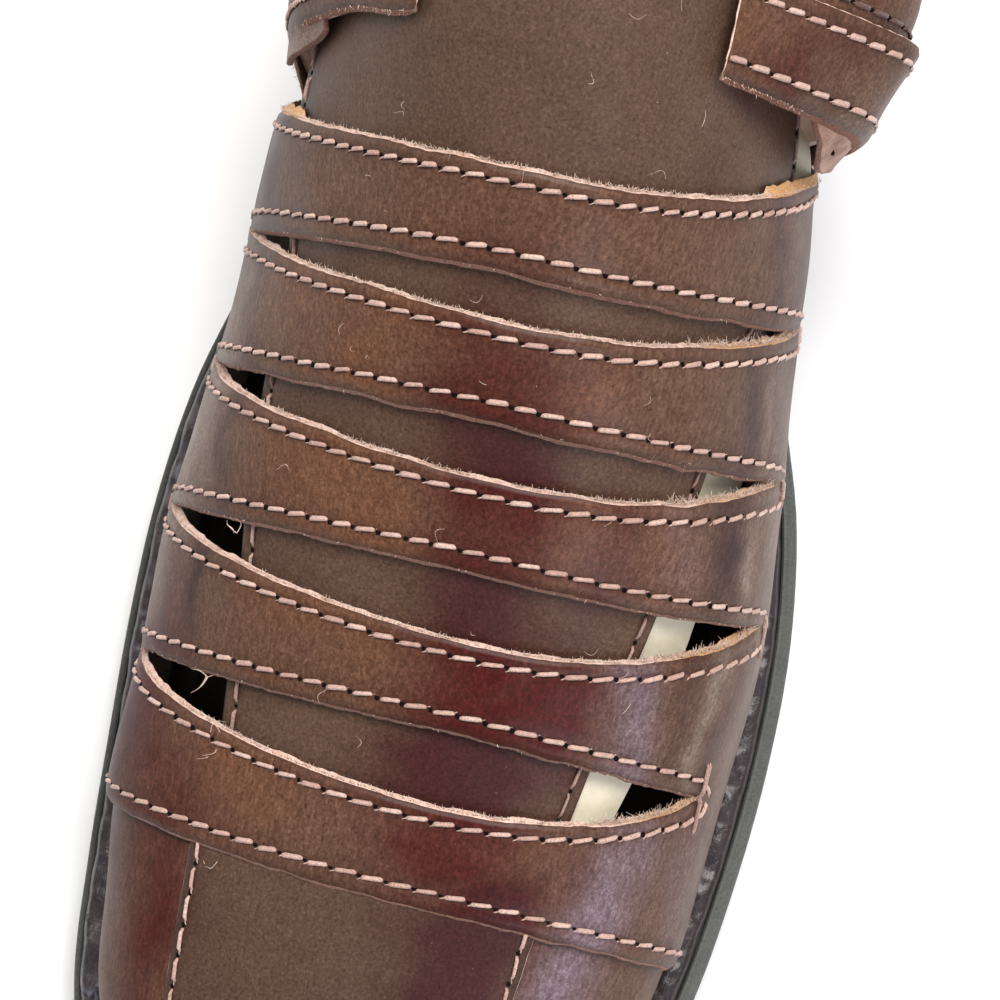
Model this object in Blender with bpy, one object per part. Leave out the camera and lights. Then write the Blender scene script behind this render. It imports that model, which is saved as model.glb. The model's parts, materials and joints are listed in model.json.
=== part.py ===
"""A slip-on leather loafer for the right foot: five cross straps over a long centre panel, four long slits, open throat, welt and rubber sole.

Lengths are in millimetres in the tables and functions, and become metres where a mesh is made.
u runs along the shoe from the back of the heel to the toe. v runs across the upper from -1 at the lateral feather line, over the crest at 0, to 1 at the medial feather line.
World axes: toe towards -Y, medial side towards +X, +Z up.
"""

import math

import bmesh
import bpy
import numpy as np

MM = 0.001
LENGTH = 302.0  # outsole, heel to toe
GAP = 0.3  # clearance between neighbouring pieces
WALL = 2.0  # upper leather with its backing
TONGUE_THICK = 1.8
TONGUE_CLEAR = 0.6  # between the straps and the tongue under them
INSOLE_THICK = 3.5
WELT_THICK = 2.6
RIM = 2.4  # rubber seen beyond the welt
HEEL_CENTRE_U = 40.0
TOE_ROUND = 34.0  # length over which the toe rises from the feather line
TOE_POWER = 2.3
COLUMNS = 40  # across the vamp
COLLAR_ROWS = 13  # from feather line to collar
SOLE_BEVEL = 1.6
FACET = 0.3  # the sole's flat facets stay this far under its curved top
GROOVE_DEEP = 1.6
GROOVE_WIDE = 2.4
GROOVES = tuple(range(166, 266, 12)) + (16, 28, 46, 58)

# u, lateral x, medial x of the outsole's edge
OUTLINE = (
    (3.0, -12.5, 12.5),
    (10.0, -23.0, 23.0),
    (22.0, -31.2, 31.0),
    (40.0, -35.8, 35.6),
    (65.0, -38.0, 37.0),
    (90.0, -40.0, 37.4),
    (115.0, -43.0, 39.4),
    (140.0, -46.8, 44.4),
    (160.0, -51.4, 51.2),
    (180.0, -53.1, 54.8),
    (200.0, -52.6, 55.7),
    (220.0, -51.0, 54.8),
    (240.0, -49.0, 52.4),
    (260.0, -45.8, 47.4),
    (276.0, -39.8, 40.8),
    (288.0, -31.2, 32.4),
    (296.0, -21.0, 23.4),
    (300.6, -9.0, 13.0),
)
HEEL_TIP, TOE_TIP = (0.0, 0.0), (302.0, 2.0)

# u, distance from the sole's edge in to the upper
MARGIN = ((0, 4.5), (40, 4.5), (90, 4.6), (120, 5.0), (150, 6.6), (175, 7.0), (302, 7.0))
# u, height of the sole's top
TOP = (
    (0, 26.0), (40, 25.0), (70, 23.4), (90, 20.6), (115, 16.4), (140, 12.6), (165, 10.2),
    (190, 9.4), (215, 9.4), (240, 10.6), (265, 13.4), (285, 16.6), (302, 20.0),
)
# u, height of the sole's bottom: heel block, breast, arch, flat tread, toe spring
BOTTOM = (
    (0, 1.2), (8, 0.0), (70, 0.0), (71.5, 12.4), (90, 10.6), (115, 6.6), (140, 3.0), (160, 0.8),
    (172, 0.0), (222, 0.0), (240, 0.9), (262, 4.2), (282, 8.4), (302, 13.5),
)
# u, rise of the crest over the sole's top
CREST = (
    (40, 92.0), (70, 90.0), (95, 88.0), (115, 84.0), (135, 78.0), (155, 70.0), (175, 61.0),
    (195, 52.5), (215, 45.5), (235, 40.0), (255, 35.5), (275, 31.5), (302, 27.0),
)
# u, crest shift to the medial side as a share of the half width, section power lateral, section power medial, bulge lateral, bulge medial
SHAPE = (
    (0, 0.0, 2.7, 2.7, 1.8, 1.8),
    (40, 0.0, 2.7, 2.7, 1.8, 1.8),
    (65, 0.02, 2.6, 2.7, 3.2, 3.0),
    (90, 0.04, 2.35, 2.6, 5.0, 5.5),
    (112, 0.06, 2.2, 2.5, 6.1, 7.4),
    (132, 0.08, 2.1, 2.5, 5.7, 8.0),
    (150, 0.09, 2.05, 2.5, 3.5, 6.0),
    (165, 0.10, 2.05, 2.5, 3.0, 3.8),
    (185, 0.10, 2.05, 2.5, 3.0, 3.0),
    (205, 0.10, 2.1, 2.5, 3.7, 1.5),
    (225, 0.09, 2.2, 2.5, 5.1, 2.3),
    (250, 0.06, 2.25, 2.5, 3.8, 2.5),
    (275, 0.03, 2.3, 2.4, 2.4, 2.4),
    (302, 0.0, 2.4, 2.4, 1.6, 1.6),
)
BULGE_LOW, BULGE_HIGH = 1.3, 2.0  # powers of the bulge up the wall
# u, how far the slack quarter stands out on the lateral side, on the medial side
FLARE = (
    (40, 0.0, 0.0), (55, 0.9, 3.8), (70, 2.8, 10.8), (84, 4.2, 15.6), (92, 4.4, 14.9), (96, 4.3, 13.4),
    (100, 4.1, 11.2), (104, 3.8, 9.3), (107, 3.4, 8.2), (111, 1.8, 4.0), (115, 0.3, 0.5), (119, 0.0, 0.0),
)
FLARE_FROM, FLARE_TO = 0.2, 0.9  # shares of the height between which it stands out

# Slits between neighbouring straps: u on the crest, at the lateral end, at the medial end, width on the crest, v of the lateral end, of the medial end, fullness
SLITS = {
    "a_b": (213.5, 205.2, 208.2, 11.4, -0.84, 0.69, 1.5),
    "b_c": (189.8, 182.0, 180.4, 10.3, -0.825, 0.785, 1.5),
    "c_d": (168.0, 159.0, 158.6, 8.0, -0.80, 0.785, 1.5),
    "d_e": (147.6, 138.2, 134.6, 6.6, -0.80, 0.83, 1.5),
    "e_f": (121.5, 115.0, 108.0, 19.0, -0.90, 0.90, 2.2),
}
STRAP_A_LOW = (234.0, 227.0, 235.0)  # u on the crest, lateral, medial
# u, v of the collar edge lateral, medial: front corner, up beside the tongue, down to the ankle
COLLAR = (
    (40, 0.76, 0.76), (52, 0.775, 0.775), (62, 0.75, 0.75), (72, 0.67, 0.67), (82, 0.54, 0.56),
    (91, 0.42, 0.46), (100, 0.33, 0.405), (116, 0.312, 0.41),
)
COLLAR_HEEL = ((0, 0.76), (45, 0.70), (90, 0.657), (135, 0.70), (180, 0.76))  # degrees round the heel, v
# u, v of the tongue's edge lateral, medial
TONGUE = (
    (86, 0.30, 0.30), (88, 0.46, 0.48), (93, 0.60, 0.64), (100, 0.68, 0.74), (116, 0.70, 0.78),
    (139, 0.613, 0.662), (164, 0.554, 0.512), (187, 0.508, 0.404), (210, 0.475, 0.321), (230, 0.44, 0.28),
)


def hermite(t, y, q):
    """Smooth curve through the points of a table."""
    t, y = np.asarray(t, float), np.asarray(y, float)
    q = np.clip(np.asarray(q, float), t[0], t[-1])
    wide = (slice(None),) + (None,) * (y.ndim - 1)
    d = np.diff(t)
    s = np.diff(y, axis=0) / d[wide]
    m = np.empty_like(y)
    m[1:-1] = (s[:-1] * d[1:][wide] + s[1:] * d[:-1][wide]) / (d[1:] + d[:-1])[wide]
    m[0], m[-1] = s[0], s[-1]
    i = np.clip(np.searchsorted(t, q, side="right") - 1, 0, len(t) - 2)
    h = t[i + 1] - t[i]
    x = (q - t[i]) / h
    if y.ndim > 1:
        h, x = h[..., None], x[..., None]
    return (
        (1 + 2 * x) * (1 - x) ** 2 * y[i]
        + x * (1 - x) ** 2 * h * m[i]
        + x * x * (3 - 2 * x) * y[i + 1]
        + x * x * (x - 1) * h * m[i + 1]
    )


def column(table, k):
    """Column k of a table as a smooth function of its first column."""
    return lambda q: hermite([row[0] for row in table], [row[k] for row in table], q)


margin, sole_top, crest_rise = column(MARGIN, 1), column(TOP, 1), column(CREST, 1)
crest_shift, power_lat, power_med, bulge_lat, bulge_med = (column(SHAPE, k) for k in range(1, 6))
flare_lat, flare_med = column(FLARE, 1), column(FLARE, 2)


def sole_bottom(u):
    return np.interp(u, [row[0] for row in BOTTOM], [row[1] for row in BOTTOM])


def outline_ring(count=1440):
    """Closed outline of the outsole as (x, u): heel tip, lateral side, toe tip, medial side."""
    lateral = [(row[1], row[0]) for row in OUTLINE]
    medial = [(row[2], row[0]) for row in OUTLINE][::-1]
    loop = [HEEL_TIP[::-1]] + lateral + [TOE_TIP[::-1]] + medial
    points = np.array(loop * 3 + loop[:1], float)
    t = np.concatenate([[0], np.cumsum(np.linalg.norm(np.diff(points, axis=0), axis=1))])
    n = len(loop)
    return hermite(t, points, np.linspace(t[n], t[2 * n], count, endpoint=False))


RING = outline_ring()
ALONG = np.roll(RING, -1, 0) - np.roll(RING, 1, 0)
OUTWARD = np.stack([-ALONG[:, 1], ALONG[:, 0]], 1) / np.linalg.norm(ALONG, axis=1)[:, None]
OUTWARD = OUTWARD * np.sign((OUTWARD * (RING - RING.mean(0))).sum(1).mean())
MIDDLE = (RING.max(0) + RING.min(0)) / 2 - (0.0, LENGTH / 2)  # of the outline's box, which becomes the origin
INSETS = {}


def place(point):
    """A point in millimetres as world coordinates in metres."""
    return (point[0] - MIDDLE[0]) * MM, (point[1] + MIDDLE[1]) * MM, point[2] * MM


def inset_ring(extra):
    """Lateral half, medial half and whole of the feather line moved in by extra."""
    key = round(float(extra), 4)
    if key not in INSETS:
        ring = RING - OUTWARD * (margin(RING[:, 1]) + extra)[:, None]
        n, heel, toe = len(ring), int(ring[:, 1].argmin()), int(ring[:, 1].argmax())
        one = ring[np.arange(heel, heel + (toe - heel) % n + 1) % n]
        two = ring[np.arange(heel, heel - (heel - toe) % n - 1, -1) % n]
        if one[len(one) // 2, 0] > two[len(two) // 2, 0]:
            one, two = two, one
        INSETS[key] = (one, two, ring)
    return INSETS[key]


def feather(u, inset):
    lateral, medial, _ = inset_ring(inset)
    return np.interp(u, lateral[:, 1], lateral[:, 0]), np.interp(u, medial[:, 1], medial[:, 0])


def toe_tip(inset):
    return inset_ring(inset)[0][-1, 1]


def crest_height(u, inset):
    slope = (crest_rise(u - 2) + sole_top(u - 2) - crest_rise(u + 2) - sole_top(u + 2)) / 4
    tall = crest_rise(u) - inset * np.sqrt(1 + slope**2)
    q = np.clip((toe_tip(inset) - u) / (TOE_ROUND - inset), 0, 1)
    return tall * (1 - (1 - q) ** TOE_POWER) ** (1 / TOE_POWER)


def swell(c):
    """Share of the bulge at the share c of the height."""
    peak = BULGE_LOW / (BULGE_LOW + BULGE_HIGH)
    return (c / peak) ** BULGE_LOW * ((1 - c) / (1 - peak)) ** BULGE_HIGH


def stand_out(c):
    """Share of the flare at the share c of the height."""
    s = np.clip((c - FLARE_FROM) / (FLARE_TO - FLARE_FROM), 0, 1)
    return 16 * s**2 * (1 - s) ** 2


def last(u, v, inset=0.0, slack=1.0):
    """Point on the upper: its outer face at inset 0, and faces inside it at larger insets. Without slack the quarter hugs the foot."""
    u, v = np.broadcast_arrays(np.asarray(u, float), np.asarray(v, float))
    lateral, medial = feather(u, inset)
    half = (medial - lateral) / 2
    crest = (medial + lateral) / 2 + crest_shift(u) * half
    a = np.abs(v) * math.pi / 2
    n = np.where(v < 0, power_lat(u), power_med(u))
    s, c = np.sin(a) ** (2 / n), np.clip(np.cos(a), 0, 1) ** (2 / n)
    out = np.where(v < 0, bulge_lat(u), bulge_med(u)) * np.clip(half / 25, 0, 1) * swell(c)
    out = out + slack * np.where(v < 0, flare_lat(u), flare_med(u)) * stand_out(c)
    x = np.where(v < 0, crest + (lateral - crest) * s - out, crest + (medial - crest) * s + out)
    z = sole_top(u) + GAP + crest_height(u, inset) * c
    return np.stack([x, LENGTH / 2 - u, z], -1)


def heel(degrees, v, inset=0.0):
    """The same round the heel: 0 degrees lateral, 90 at the back, 180 medial."""
    degrees, v = np.broadcast_arrays(np.asarray(degrees, float), np.asarray(v, float))
    ring = inset_ring(inset)[2]
    lateral, medial = feather(HEEL_CENTRE_U, inset)
    centre = (lateral + medial) / 2
    back = ring[ring[:, 1] <= HEEL_CENTRE_U + 6]
    turn = np.degrees(np.arctan2(HEEL_CENTRE_U - back[:, 1], centre - back[:, 0]))
    reach = np.hypot(back[:, 0] - centre, HEEL_CENTRE_U - back[:, 1])
    order = np.argsort(turn)
    r = np.interp(degrees, turn[order], reach[order])
    a = np.abs(v) * math.pi / 2
    n = power_lat(HEEL_CENTRE_U)
    s, c = np.sin(a) ** (2 / n), np.clip(np.cos(a), 0, 1) ** (2 / n)
    w = r * s + bulge_lat(HEEL_CENTRE_U) * swell(c)
    f = np.radians(degrees)
    z = sole_top(HEEL_CENTRE_U - r * np.sin(f)) + GAP + crest_height(HEEL_CENTRE_U, inset) * c
    return np.stack([centre - np.cos(f) * w, LENGTH / 2 - HEEL_CENTRE_U + np.sin(f) * w, z], -1)


def slit(name, v, side):
    """u of a slit's lip at v: side 1 is the lip towards the toe, -1 the one towards the heel."""
    crest, lateral, medial, width, v_lat, v_med, full = SLITS[name]
    v = np.asarray(v, float)
    r = np.clip(np.where(v < 0, v / v_lat, v / v_med), 0, 1)
    middle = crest + (np.where(v < 0, lateral, medial) - crest) * r**2
    return middle + side * width / 2 * (1 - r**full) ** 0.8


def strap_a_low(v):
    crest, lateral, medial = STRAP_A_LOW
    return crest + (np.where(np.asarray(v) < 0, lateral, medial) - crest) * np.abs(v) ** 2


def snap(v_columns, v):
    return int(np.abs(v_columns - v).argmin())


class Sheet:
    """Outer and inner points with the outer faces; the inner faces and the edges between them follow."""

    def __init__(self):
        self.outer, self.inner, self.faces = [], [], []

    def add(self, outer, inner):
        self.outer.append(tuple(float(x) for x in outer))
        self.inner.append(tuple(float(x) for x in inner))
        return len(self.outer) - 1

    def grid(self, index):
        """Quads between rows of point numbers; quads that close to a line are left out."""
        for one, two in zip(index, index[1:]):
            for j in range(len(one) - 1):
                corners = [one[j], one[j + 1], two[j + 1], two[j]]
                corners = [c for k, c in enumerate(corners) if c != corners[k - 1]]
                if len(set(corners)) > 2:
                    self.faces.append(corners)

    def solid(self, name, material):
        """One closed body: outer faces, inner faces, and a wall along every free edge."""
        mesh = bmesh.new()
        out = [mesh.verts.new(place(p)) for p in self.outer]
        inn = [mesh.verts.new(place(p)) for p in self.inner]
        seen = {}
        for face in self.faces:
            mesh.faces.new([out[k] for k in face])
            mesh.faces.new([inn[k] for k in reversed(face)])
            for a, b in zip(face, face[1:] + face[:1]):
                seen.setdefault((min(a, b), max(a, b)), []).append((a, b))
        for uses in seen.values():
            if len(uses) == 1:
                a, b = uses[0]
                mesh.faces.new([out[b], out[a], inn[a], inn[b]])
        return finish(name, mesh, material)


def finish(name, mesh, material):
    bmesh.ops.remove_doubles(mesh, verts=mesh.verts, dist=1e-7)
    bmesh.ops.recalc_face_normals(mesh, faces=mesh.faces)
    if mesh.calc_volume(signed=True) < 0:
        bmesh.ops.reverse_faces(mesh, faces=mesh.faces)
    data = bpy.data.meshes.new(name)
    mesh.to_mesh(data)
    mesh.free()
    data.materials.append(material)
    data.shade_smooth()
    data.set_sharp_from_angle(angle=math.radians(40))
    made = bpy.data.objects.new(name, data)
    bpy.context.scene.collection.objects.link(made)
    return made


def leather(name, colour, roughness, coat=0.0):
    made = bpy.data.materials.new(name)
    made.use_nodes = True
    shader = made.node_tree.nodes["Principled BSDF"]
    shader.inputs["Base Color"].default_value = (*colour, 1.0)
    shader.inputs["Roughness"].default_value = roughness
    shader.inputs["Metallic"].default_value = 0.0
    shader.inputs["Coat Weight"].default_value = coat
    return made


def toe_rows():
    """Rows from the toe tip to the first strap, closer together at the tip."""
    for q in (0.0, 0.09, 0.18, 0.28, 0.40, 0.53, 0.67, 0.83, 1.0):
        yield 1 - math.cos(q * math.pi / 2) if q < 1 else 1.0


def make_upper(material):
    sheet = Sheet()
    v = np.linspace(-1, 1, COLUMNS + 1)
    tips = [toe_tip(inset) for inset in (0.0, WALL)]

    def row(values, share=None):
        if share is None:
            outer, inner = last(values, v), last(values, v, WALL)
        else:
            outer = last(tips[0] - (tips[0] - values) * share, v)
            inner = last(tips[1] - (tips[1] - values) * share, v, WALL)
        return [sheet.add(a, b) for a, b in zip(outer, inner)]

    tip = sheet.add(last(tips[0], 1.0), last(tips[1], 1.0, WALL))
    block = [[tip] * (COLUMNS + 1)]
    for share in list(toe_rows())[1:]:
        block.append(row(strap_a_low(v), share))
    ends = {}
    for name, values in SLITS.items():
        low, high = snap(v, values[4]), snap(v, values[5])
        ends[name] = (low, high)
    before = strap_a_low(v)
    for name in SLITS:
        low, high = ends[name]
        crest, lateral, medial, width, v_lat, v_med, full = SLITS[name]
        SLITS[name] = (crest, lateral, medial, width, v[low], v[high], full)
        toeward, heelward = slit(name, v, 1), slit(name, v, -1)
        block.append(row((before + toeward) / 2))
        upper_lip = row(toeward)
        block.append(upper_lip)
        sheet.grid(block)
        if name == "e_f":
            break
        lower_lip = [
            upper_lip[j] if j <= low or j >= high else sheet.add(last(heelward[j], v[j]), last(heelward[j], v[j], WALL))
            for j in range(COLUMNS + 1)
        ]
        block, before = [lower_lip], heelward

    # Quarter: columns from the lateral front edge round the heel to the medial front edge
    low, high = ends["e_f"]
    shared = {-1: low, 1: COLUMNS - high}
    collar = {-1: column(COLLAR, 1), 1: column(COLLAR, 2)}
    straight, round_heel = 8, 14
    total = 2 * straight + round_heel
    share = {}
    for side in (-1, 1):
        corner = float(collar[side](COLLAR[-1][0]))
        kept = [1 - 2 * j / COLUMNS for j in range(shared[side] + 1)]
        rest = np.linspace(kept[-1], corner, COLLAR_ROWS - shared[side] + 1)[1:]
        share[side] = (1 - np.array(kept + list(rest))) / (1 - corner)
    quarter = []
    for k in range(total + 1):
        part = k / total
        steps = share[-1] * (1 - part) + share[1] * part
        if straight <= k <= total - straight:
            turn = 180 * (k - straight) / round_heel
            top = float(column(COLLAR_HEEL, 1)(turn))
            height = 1 - (1 - top) * steps
            outer, inner = heel(turn, height), heel(turn, height, WALL)
        else:
            side = -1 if k < straight else 1
            back = (k if side < 0 else total - k) / straight
            front = slit("e_f", side * (1 - (1 - float(collar[side](COLLAR[-1][0]))) * steps), -1)
            u = front + (HEEL_CENTRE_U - front) * back
            top = collar[side](u[-1])
            height = side * (1 - (1 - top) * steps)
            outer, inner = last(u, height), last(u, height, WALL)
        if k in (0, total):
            side = -1 if k == 0 else 1
            same = shared[side]
            quarter.append([
                upper_lip[j if side < 0 else COLUMNS - j] if j <= same else sheet.add(outer[j], inner[j])
                for j in range(COLLAR_ROWS + 1)
            ])
        else:
            quarter.append([sheet.add(a, b) for a, b in zip(outer, inner)])
    sheet.grid(quarter)
    return sheet.solid("upper", material)


def make_tongue(material):
    sheet = Sheet()
    edge = [column(TONGUE, 1), column(TONGUE, 2)]
    rows = []
    for u in [86, 87, 89, 92, 96] + list(np.linspace(102, 228, 19)):
        wide = np.linspace(-float(edge[0](u)), float(edge[1](u)), 13)
        rows.append([
            sheet.add(a, b)
            for a, b in zip(last(u, wide, WALL + TONGUE_CLEAR, 0.0), last(u, wide, WALL + TONGUE_CLEAR + TONGUE_THICK, 0.0))
        ])
    sheet.grid(rows)
    return sheet.solid("tongue", material)


def stations(extra=()):
    base = [1.2, 4, 8, 13, 20, 30, 42, 56] + list(range(80, 276, 15)) + [276, 283, 289, 294, 297.8, 300.4]
    return sorted(set(float(u) for u in base) | set(float(u) for u in extra))


def ring_points(levels, at):
    """Points round the shoe at the given u on both sides, for each inset from the sole's edge: heel tip, lateral, toe tip, medial."""
    heel_at, toe_at = int(RING[:, 1].argmin()), int(RING[:, 1].argmax())
    n = len(RING)
    lateral = np.arange(heel_at, heel_at + (toe_at - heel_at) % n + 1)
    medial = np.arange(heel_at + n, heel_at + n - (heel_at - toe_at) % n - 1, -1)
    where = [heel_at]
    where += [np.interp(u, RING[lateral % n, 1], lateral) for u in at]
    where += [toe_at]
    where += [np.interp(u, RING[medial % n, 1], medial) for u in reversed(at)]
    where = np.array(where) % n
    low = np.floor(where).astype(int) % n
    part = (where - np.floor(where))[:, None]
    base = RING[low] * (1 - part) + RING[(low + 1) % n] * part
    out = OUTWARD[low] * (1 - part) + OUTWARD[(low + 1) % n] * part
    return [base - out * (np.asarray(level(base[:, 1]) if callable(level) else level) * np.ones(len(base)))[:, None] for level in levels]


def cap(mesh, ring, count, flip):
    """Strips across a ring of points between its two sides."""
    pairs = [(k, 2 * count + 2 - k) for k in range(1, count + 1)]
    faces = [[ring[0], ring[1], ring[-1]]]
    faces += [[ring[a], ring[a + 1], ring[b - 1], ring[b]] for a, b in pairs[:-1]]
    faces += [[ring[count], ring[count + 1], ring[count + 2]]]
    for face in faces:
        mesh.faces.new(face[::-1] if flip else face)


def stack(name, rings, count, material):
    """A closed body from rings of 3-D points, bottom to top."""
    mesh = bmesh.new()
    loops = [[mesh.verts.new(place(p)) for p in ring] for ring in rings]
    for one, two in zip(loops, loops[1:]):
        for j in range(len(one)):
            k = (j + 1) % len(one)
            mesh.faces.new([one[j], one[k], two[k], two[j]])
    cap(mesh, loops[0], count, True)
    cap(mesh, loops[-1], count, False)
    return finish(name, mesh, material)


def lift(flat, height):
    return np.column_stack([flat[:, 0], LENGTH / 2 - flat[:, 1], height])


def make_outsole(material):
    """Rubber sole with its heel, arch, toe spring and cross grooves."""
    cuts = [69.8, 71.6]
    for u in GROOVES:
        cuts += [u - GROOVE_WIDE / 2 - 0.15, u - GROOVE_WIDE / 2 + 0.15, u + GROOVE_WIDE / 2 - 0.15, u + GROOVE_WIDE / 2 + 0.15]
    at = [u for u in stations() if all(abs(u - c) > 1.0 for c in cuts)]
    at = sorted(at + cuts)
    edge, low, under = ring_points((0.0, SOLE_BEVEL * 0.6, SOLE_BEVEL), at)
    marks = np.array([0.0] + at + [LENGTH] + at[::-1])
    bottom = sole_bottom(marks)
    for u in GROOVES:
        bottom = bottom + GROOVE_DEEP * (np.abs(marks - u) < GROOVE_WIDE / 2)
    rings = [lift(under, bottom), lift(low, bottom + 0.9), lift(edge, bottom + 2.6), lift(edge, sole_top(edge[:, 1]) - FACET)]
    return stack("outsole", rings, len(at), material)


def make_insole(material):
    at = stations()
    (flat,) = ring_points((lambda u: margin(u) + WALL + 0.6,), at)
    rings = [lift(flat, sole_top(flat[:, 1]) + GAP), lift(flat, sole_top(flat[:, 1]) + GAP + INSOLE_THICK)]
    return stack("insole", rings, len(at), material)


def make_welt(material):
    """Strip round the upper on the rim of the sole; its inner face leans out with the wall."""
    at = stations()
    outer, inner = ring_points((RIM, lambda u: margin(u) - GAP), at)
    share = WELT_THICK / crest_height(np.clip(inner[:, 1], HEEL_CENTRE_U, toe_tip(0.0) - 12), 0.0)
    lean = np.maximum(bulge_lat(inner[:, 1]), bulge_med(inner[:, 1])) * swell(share) + 0.15
    toward = outer - inner
    toward /= np.linalg.norm(toward, axis=1)[:, None]
    rings = [
        lift(inner, sole_top(inner[:, 1]) + GAP),
        lift(outer, sole_top(outer[:, 1]) + GAP),
        lift(outer, sole_top(outer[:, 1]) + GAP + WELT_THICK * 0.8),
        lift(inner + toward * lean[:, None], sole_top(inner[:, 1]) + GAP + WELT_THICK),
    ]
    mesh = bmesh.new()
    loops = [[mesh.verts.new(place(p)) for p in ring] for ring in rings]
    for one, two in zip(loops, loops[1:] + loops[:1]):
        for j in range(len(one)):
            k = (j + 1) % len(one)
            mesh.faces.new([one[j], one[k], two[k], two[j]])
    return finish("welt", mesh, material)


def main():
    for old in list(bpy.data.objects):
        bpy.data.objects.remove(old, do_unlink=True)
    glossy = leather("strap_leather", (0.115, 0.055, 0.040), 0.32, 0.3)
    dull = leather("panel_leather", (0.110, 0.068, 0.048), 0.5)
    dark = leather("welt_leather", (0.050, 0.026, 0.028), 0.3, 0.3)
    rubber = leather("sole_rubber", (0.020, 0.021, 0.018), 0.6)
    plain = leather("insole_leather", (0.033, 0.020, 0.015), 0.6)
    make_outsole(rubber)
    make_welt(dark)
    make_insole(plain)
    make_upper(glossy)
    make_tongue(dull)


main()
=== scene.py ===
"""Finished surfaces of a right-foot slip-on loafer: glossy cross straps over a dull centre panel, slits, welt and rubber sole.

Lengths are in millimetres in the tables and functions, and become metres where a mesh is made.
u runs along the shoe from the back of the heel to the toe. v runs across the upper from -1 at the lateral feather line, over the crest at 0, to 1 at the medial feather line. Depth is measured in from the upper's outer face.
"""

import json
import math

import bpy
import numpy as np
from mathutils import Matrix

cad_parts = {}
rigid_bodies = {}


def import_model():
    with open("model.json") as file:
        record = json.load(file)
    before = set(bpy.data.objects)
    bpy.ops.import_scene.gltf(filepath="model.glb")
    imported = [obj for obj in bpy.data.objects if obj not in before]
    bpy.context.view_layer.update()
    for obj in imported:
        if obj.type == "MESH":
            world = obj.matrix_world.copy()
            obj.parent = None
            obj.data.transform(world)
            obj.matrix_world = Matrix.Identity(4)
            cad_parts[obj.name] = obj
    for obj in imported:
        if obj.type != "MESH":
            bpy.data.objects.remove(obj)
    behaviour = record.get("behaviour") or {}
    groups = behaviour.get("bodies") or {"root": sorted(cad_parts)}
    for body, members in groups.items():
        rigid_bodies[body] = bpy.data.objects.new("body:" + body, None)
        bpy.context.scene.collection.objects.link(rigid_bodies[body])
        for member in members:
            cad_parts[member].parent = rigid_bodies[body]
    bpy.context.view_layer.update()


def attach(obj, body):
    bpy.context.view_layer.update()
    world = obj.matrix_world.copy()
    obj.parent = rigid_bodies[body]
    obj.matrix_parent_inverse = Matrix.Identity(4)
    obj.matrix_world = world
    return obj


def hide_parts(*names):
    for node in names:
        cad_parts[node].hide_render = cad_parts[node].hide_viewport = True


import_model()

MM = 0.001
LENGTH = 302.0
GAP = 0.3
HEEL_CENTRE_U = 40.0
TOE_ROUND = 34.0
TOE_POWER = 2.3
SOLE_BEVEL = 1.6
FACET = 0.3
GROOVE_DEEP = 1.6
GROOVE_WIDE = 2.4
GROOVES = tuple(range(166, 266, 12)) + (16, 28, 46, 58)
INSOLE_THICK = 3.5
WALL = 2.0

# u, lateral x, medial x of the outsole's edge
OUTLINE = (
    (3.0, -12.5, 12.5),
    (10.0, -23.0, 23.0),
    (22.0, -31.2, 31.0),
    (40.0, -35.8, 35.6),
    (65.0, -38.0, 37.0),
    (90.0, -40.0, 37.4),
    (115.0, -43.0, 39.4),
    (140.0, -46.8, 44.4),
    (160.0, -51.4, 51.2),
    (180.0, -53.1, 54.8),
    (200.0, -52.6, 55.7),
    (220.0, -51.0, 54.8),
    (240.0, -49.0, 52.4),
    (260.0, -45.8, 47.4),
    (276.0, -39.8, 40.8),
    (288.0, -31.2, 32.4),
    (296.0, -21.0, 23.4),
    (300.6, -9.0, 13.0),
)
HEEL_TIP, TOE_TIP = (0.0, 0.0), (302.0, 2.0)
# u, distance from the sole's edge in to the upper
MARGIN = ((0, 4.5), (40, 4.5), (90, 4.6), (120, 5.0), (150, 6.6), (175, 7.0), (302, 7.0))
# u, height of the sole's top
TOP = (
    (0, 26.0), (40, 25.0), (70, 23.4), (90, 20.6), (115, 16.4), (140, 12.6), (165, 10.2),
    (190, 9.4), (215, 9.4), (240, 10.6), (265, 13.4), (285, 16.6), (302, 20.0),
)
# u, height of the sole's bottom
BOTTOM = (
    (0, 1.2), (8, 0.0), (70, 0.0), (71.5, 12.4), (90, 10.6), (115, 6.6), (140, 3.0), (160, 0.8),
    (172, 0.0), (222, 0.0), (240, 0.9), (262, 4.2), (282, 8.4), (302, 13.5),
)
# u, rise of the crest over the sole's top
CREST = (
    (40, 92.0), (70, 90.0), (95, 88.0), (115, 84.0), (135, 78.0), (155, 70.0), (175, 61.0),
    (195, 52.5), (215, 45.5), (235, 40.0), (255, 35.5), (275, 31.5), (302, 27.0),
)
# u, crest shift to the medial side as a share of the half width, section power lateral, medial, bulge lateral, medial
SHAPE = (
    (0, 0.0, 2.7, 2.7, 1.8, 1.8),
    (40, 0.0, 2.7, 2.7, 1.8, 1.8),
    (65, 0.02, 2.6, 2.7, 3.2, 3.0),
    (90, 0.04, 2.35, 2.6, 5.0, 5.5),
    (112, 0.06, 2.2, 2.5, 6.1, 7.4),
    (132, 0.08, 2.1, 2.5, 5.7, 8.0),
    (150, 0.09, 2.05, 2.5, 3.5, 6.0),
    (165, 0.10, 2.05, 2.5, 3.0, 3.8),
    (185, 0.10, 2.05, 2.5, 3.0, 3.0),
    (205, 0.10, 2.1, 2.5, 3.7, 1.5),
    (225, 0.09, 2.2, 2.5, 5.1, 2.3),
    (250, 0.06, 2.25, 2.5, 3.8, 2.5),
    (275, 0.03, 2.3, 2.4, 2.4, 2.4),
    (302, 0.0, 2.4, 2.4, 1.6, 1.6),
)
BULGE_LOW, BULGE_HIGH = 1.3, 2.0
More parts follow.
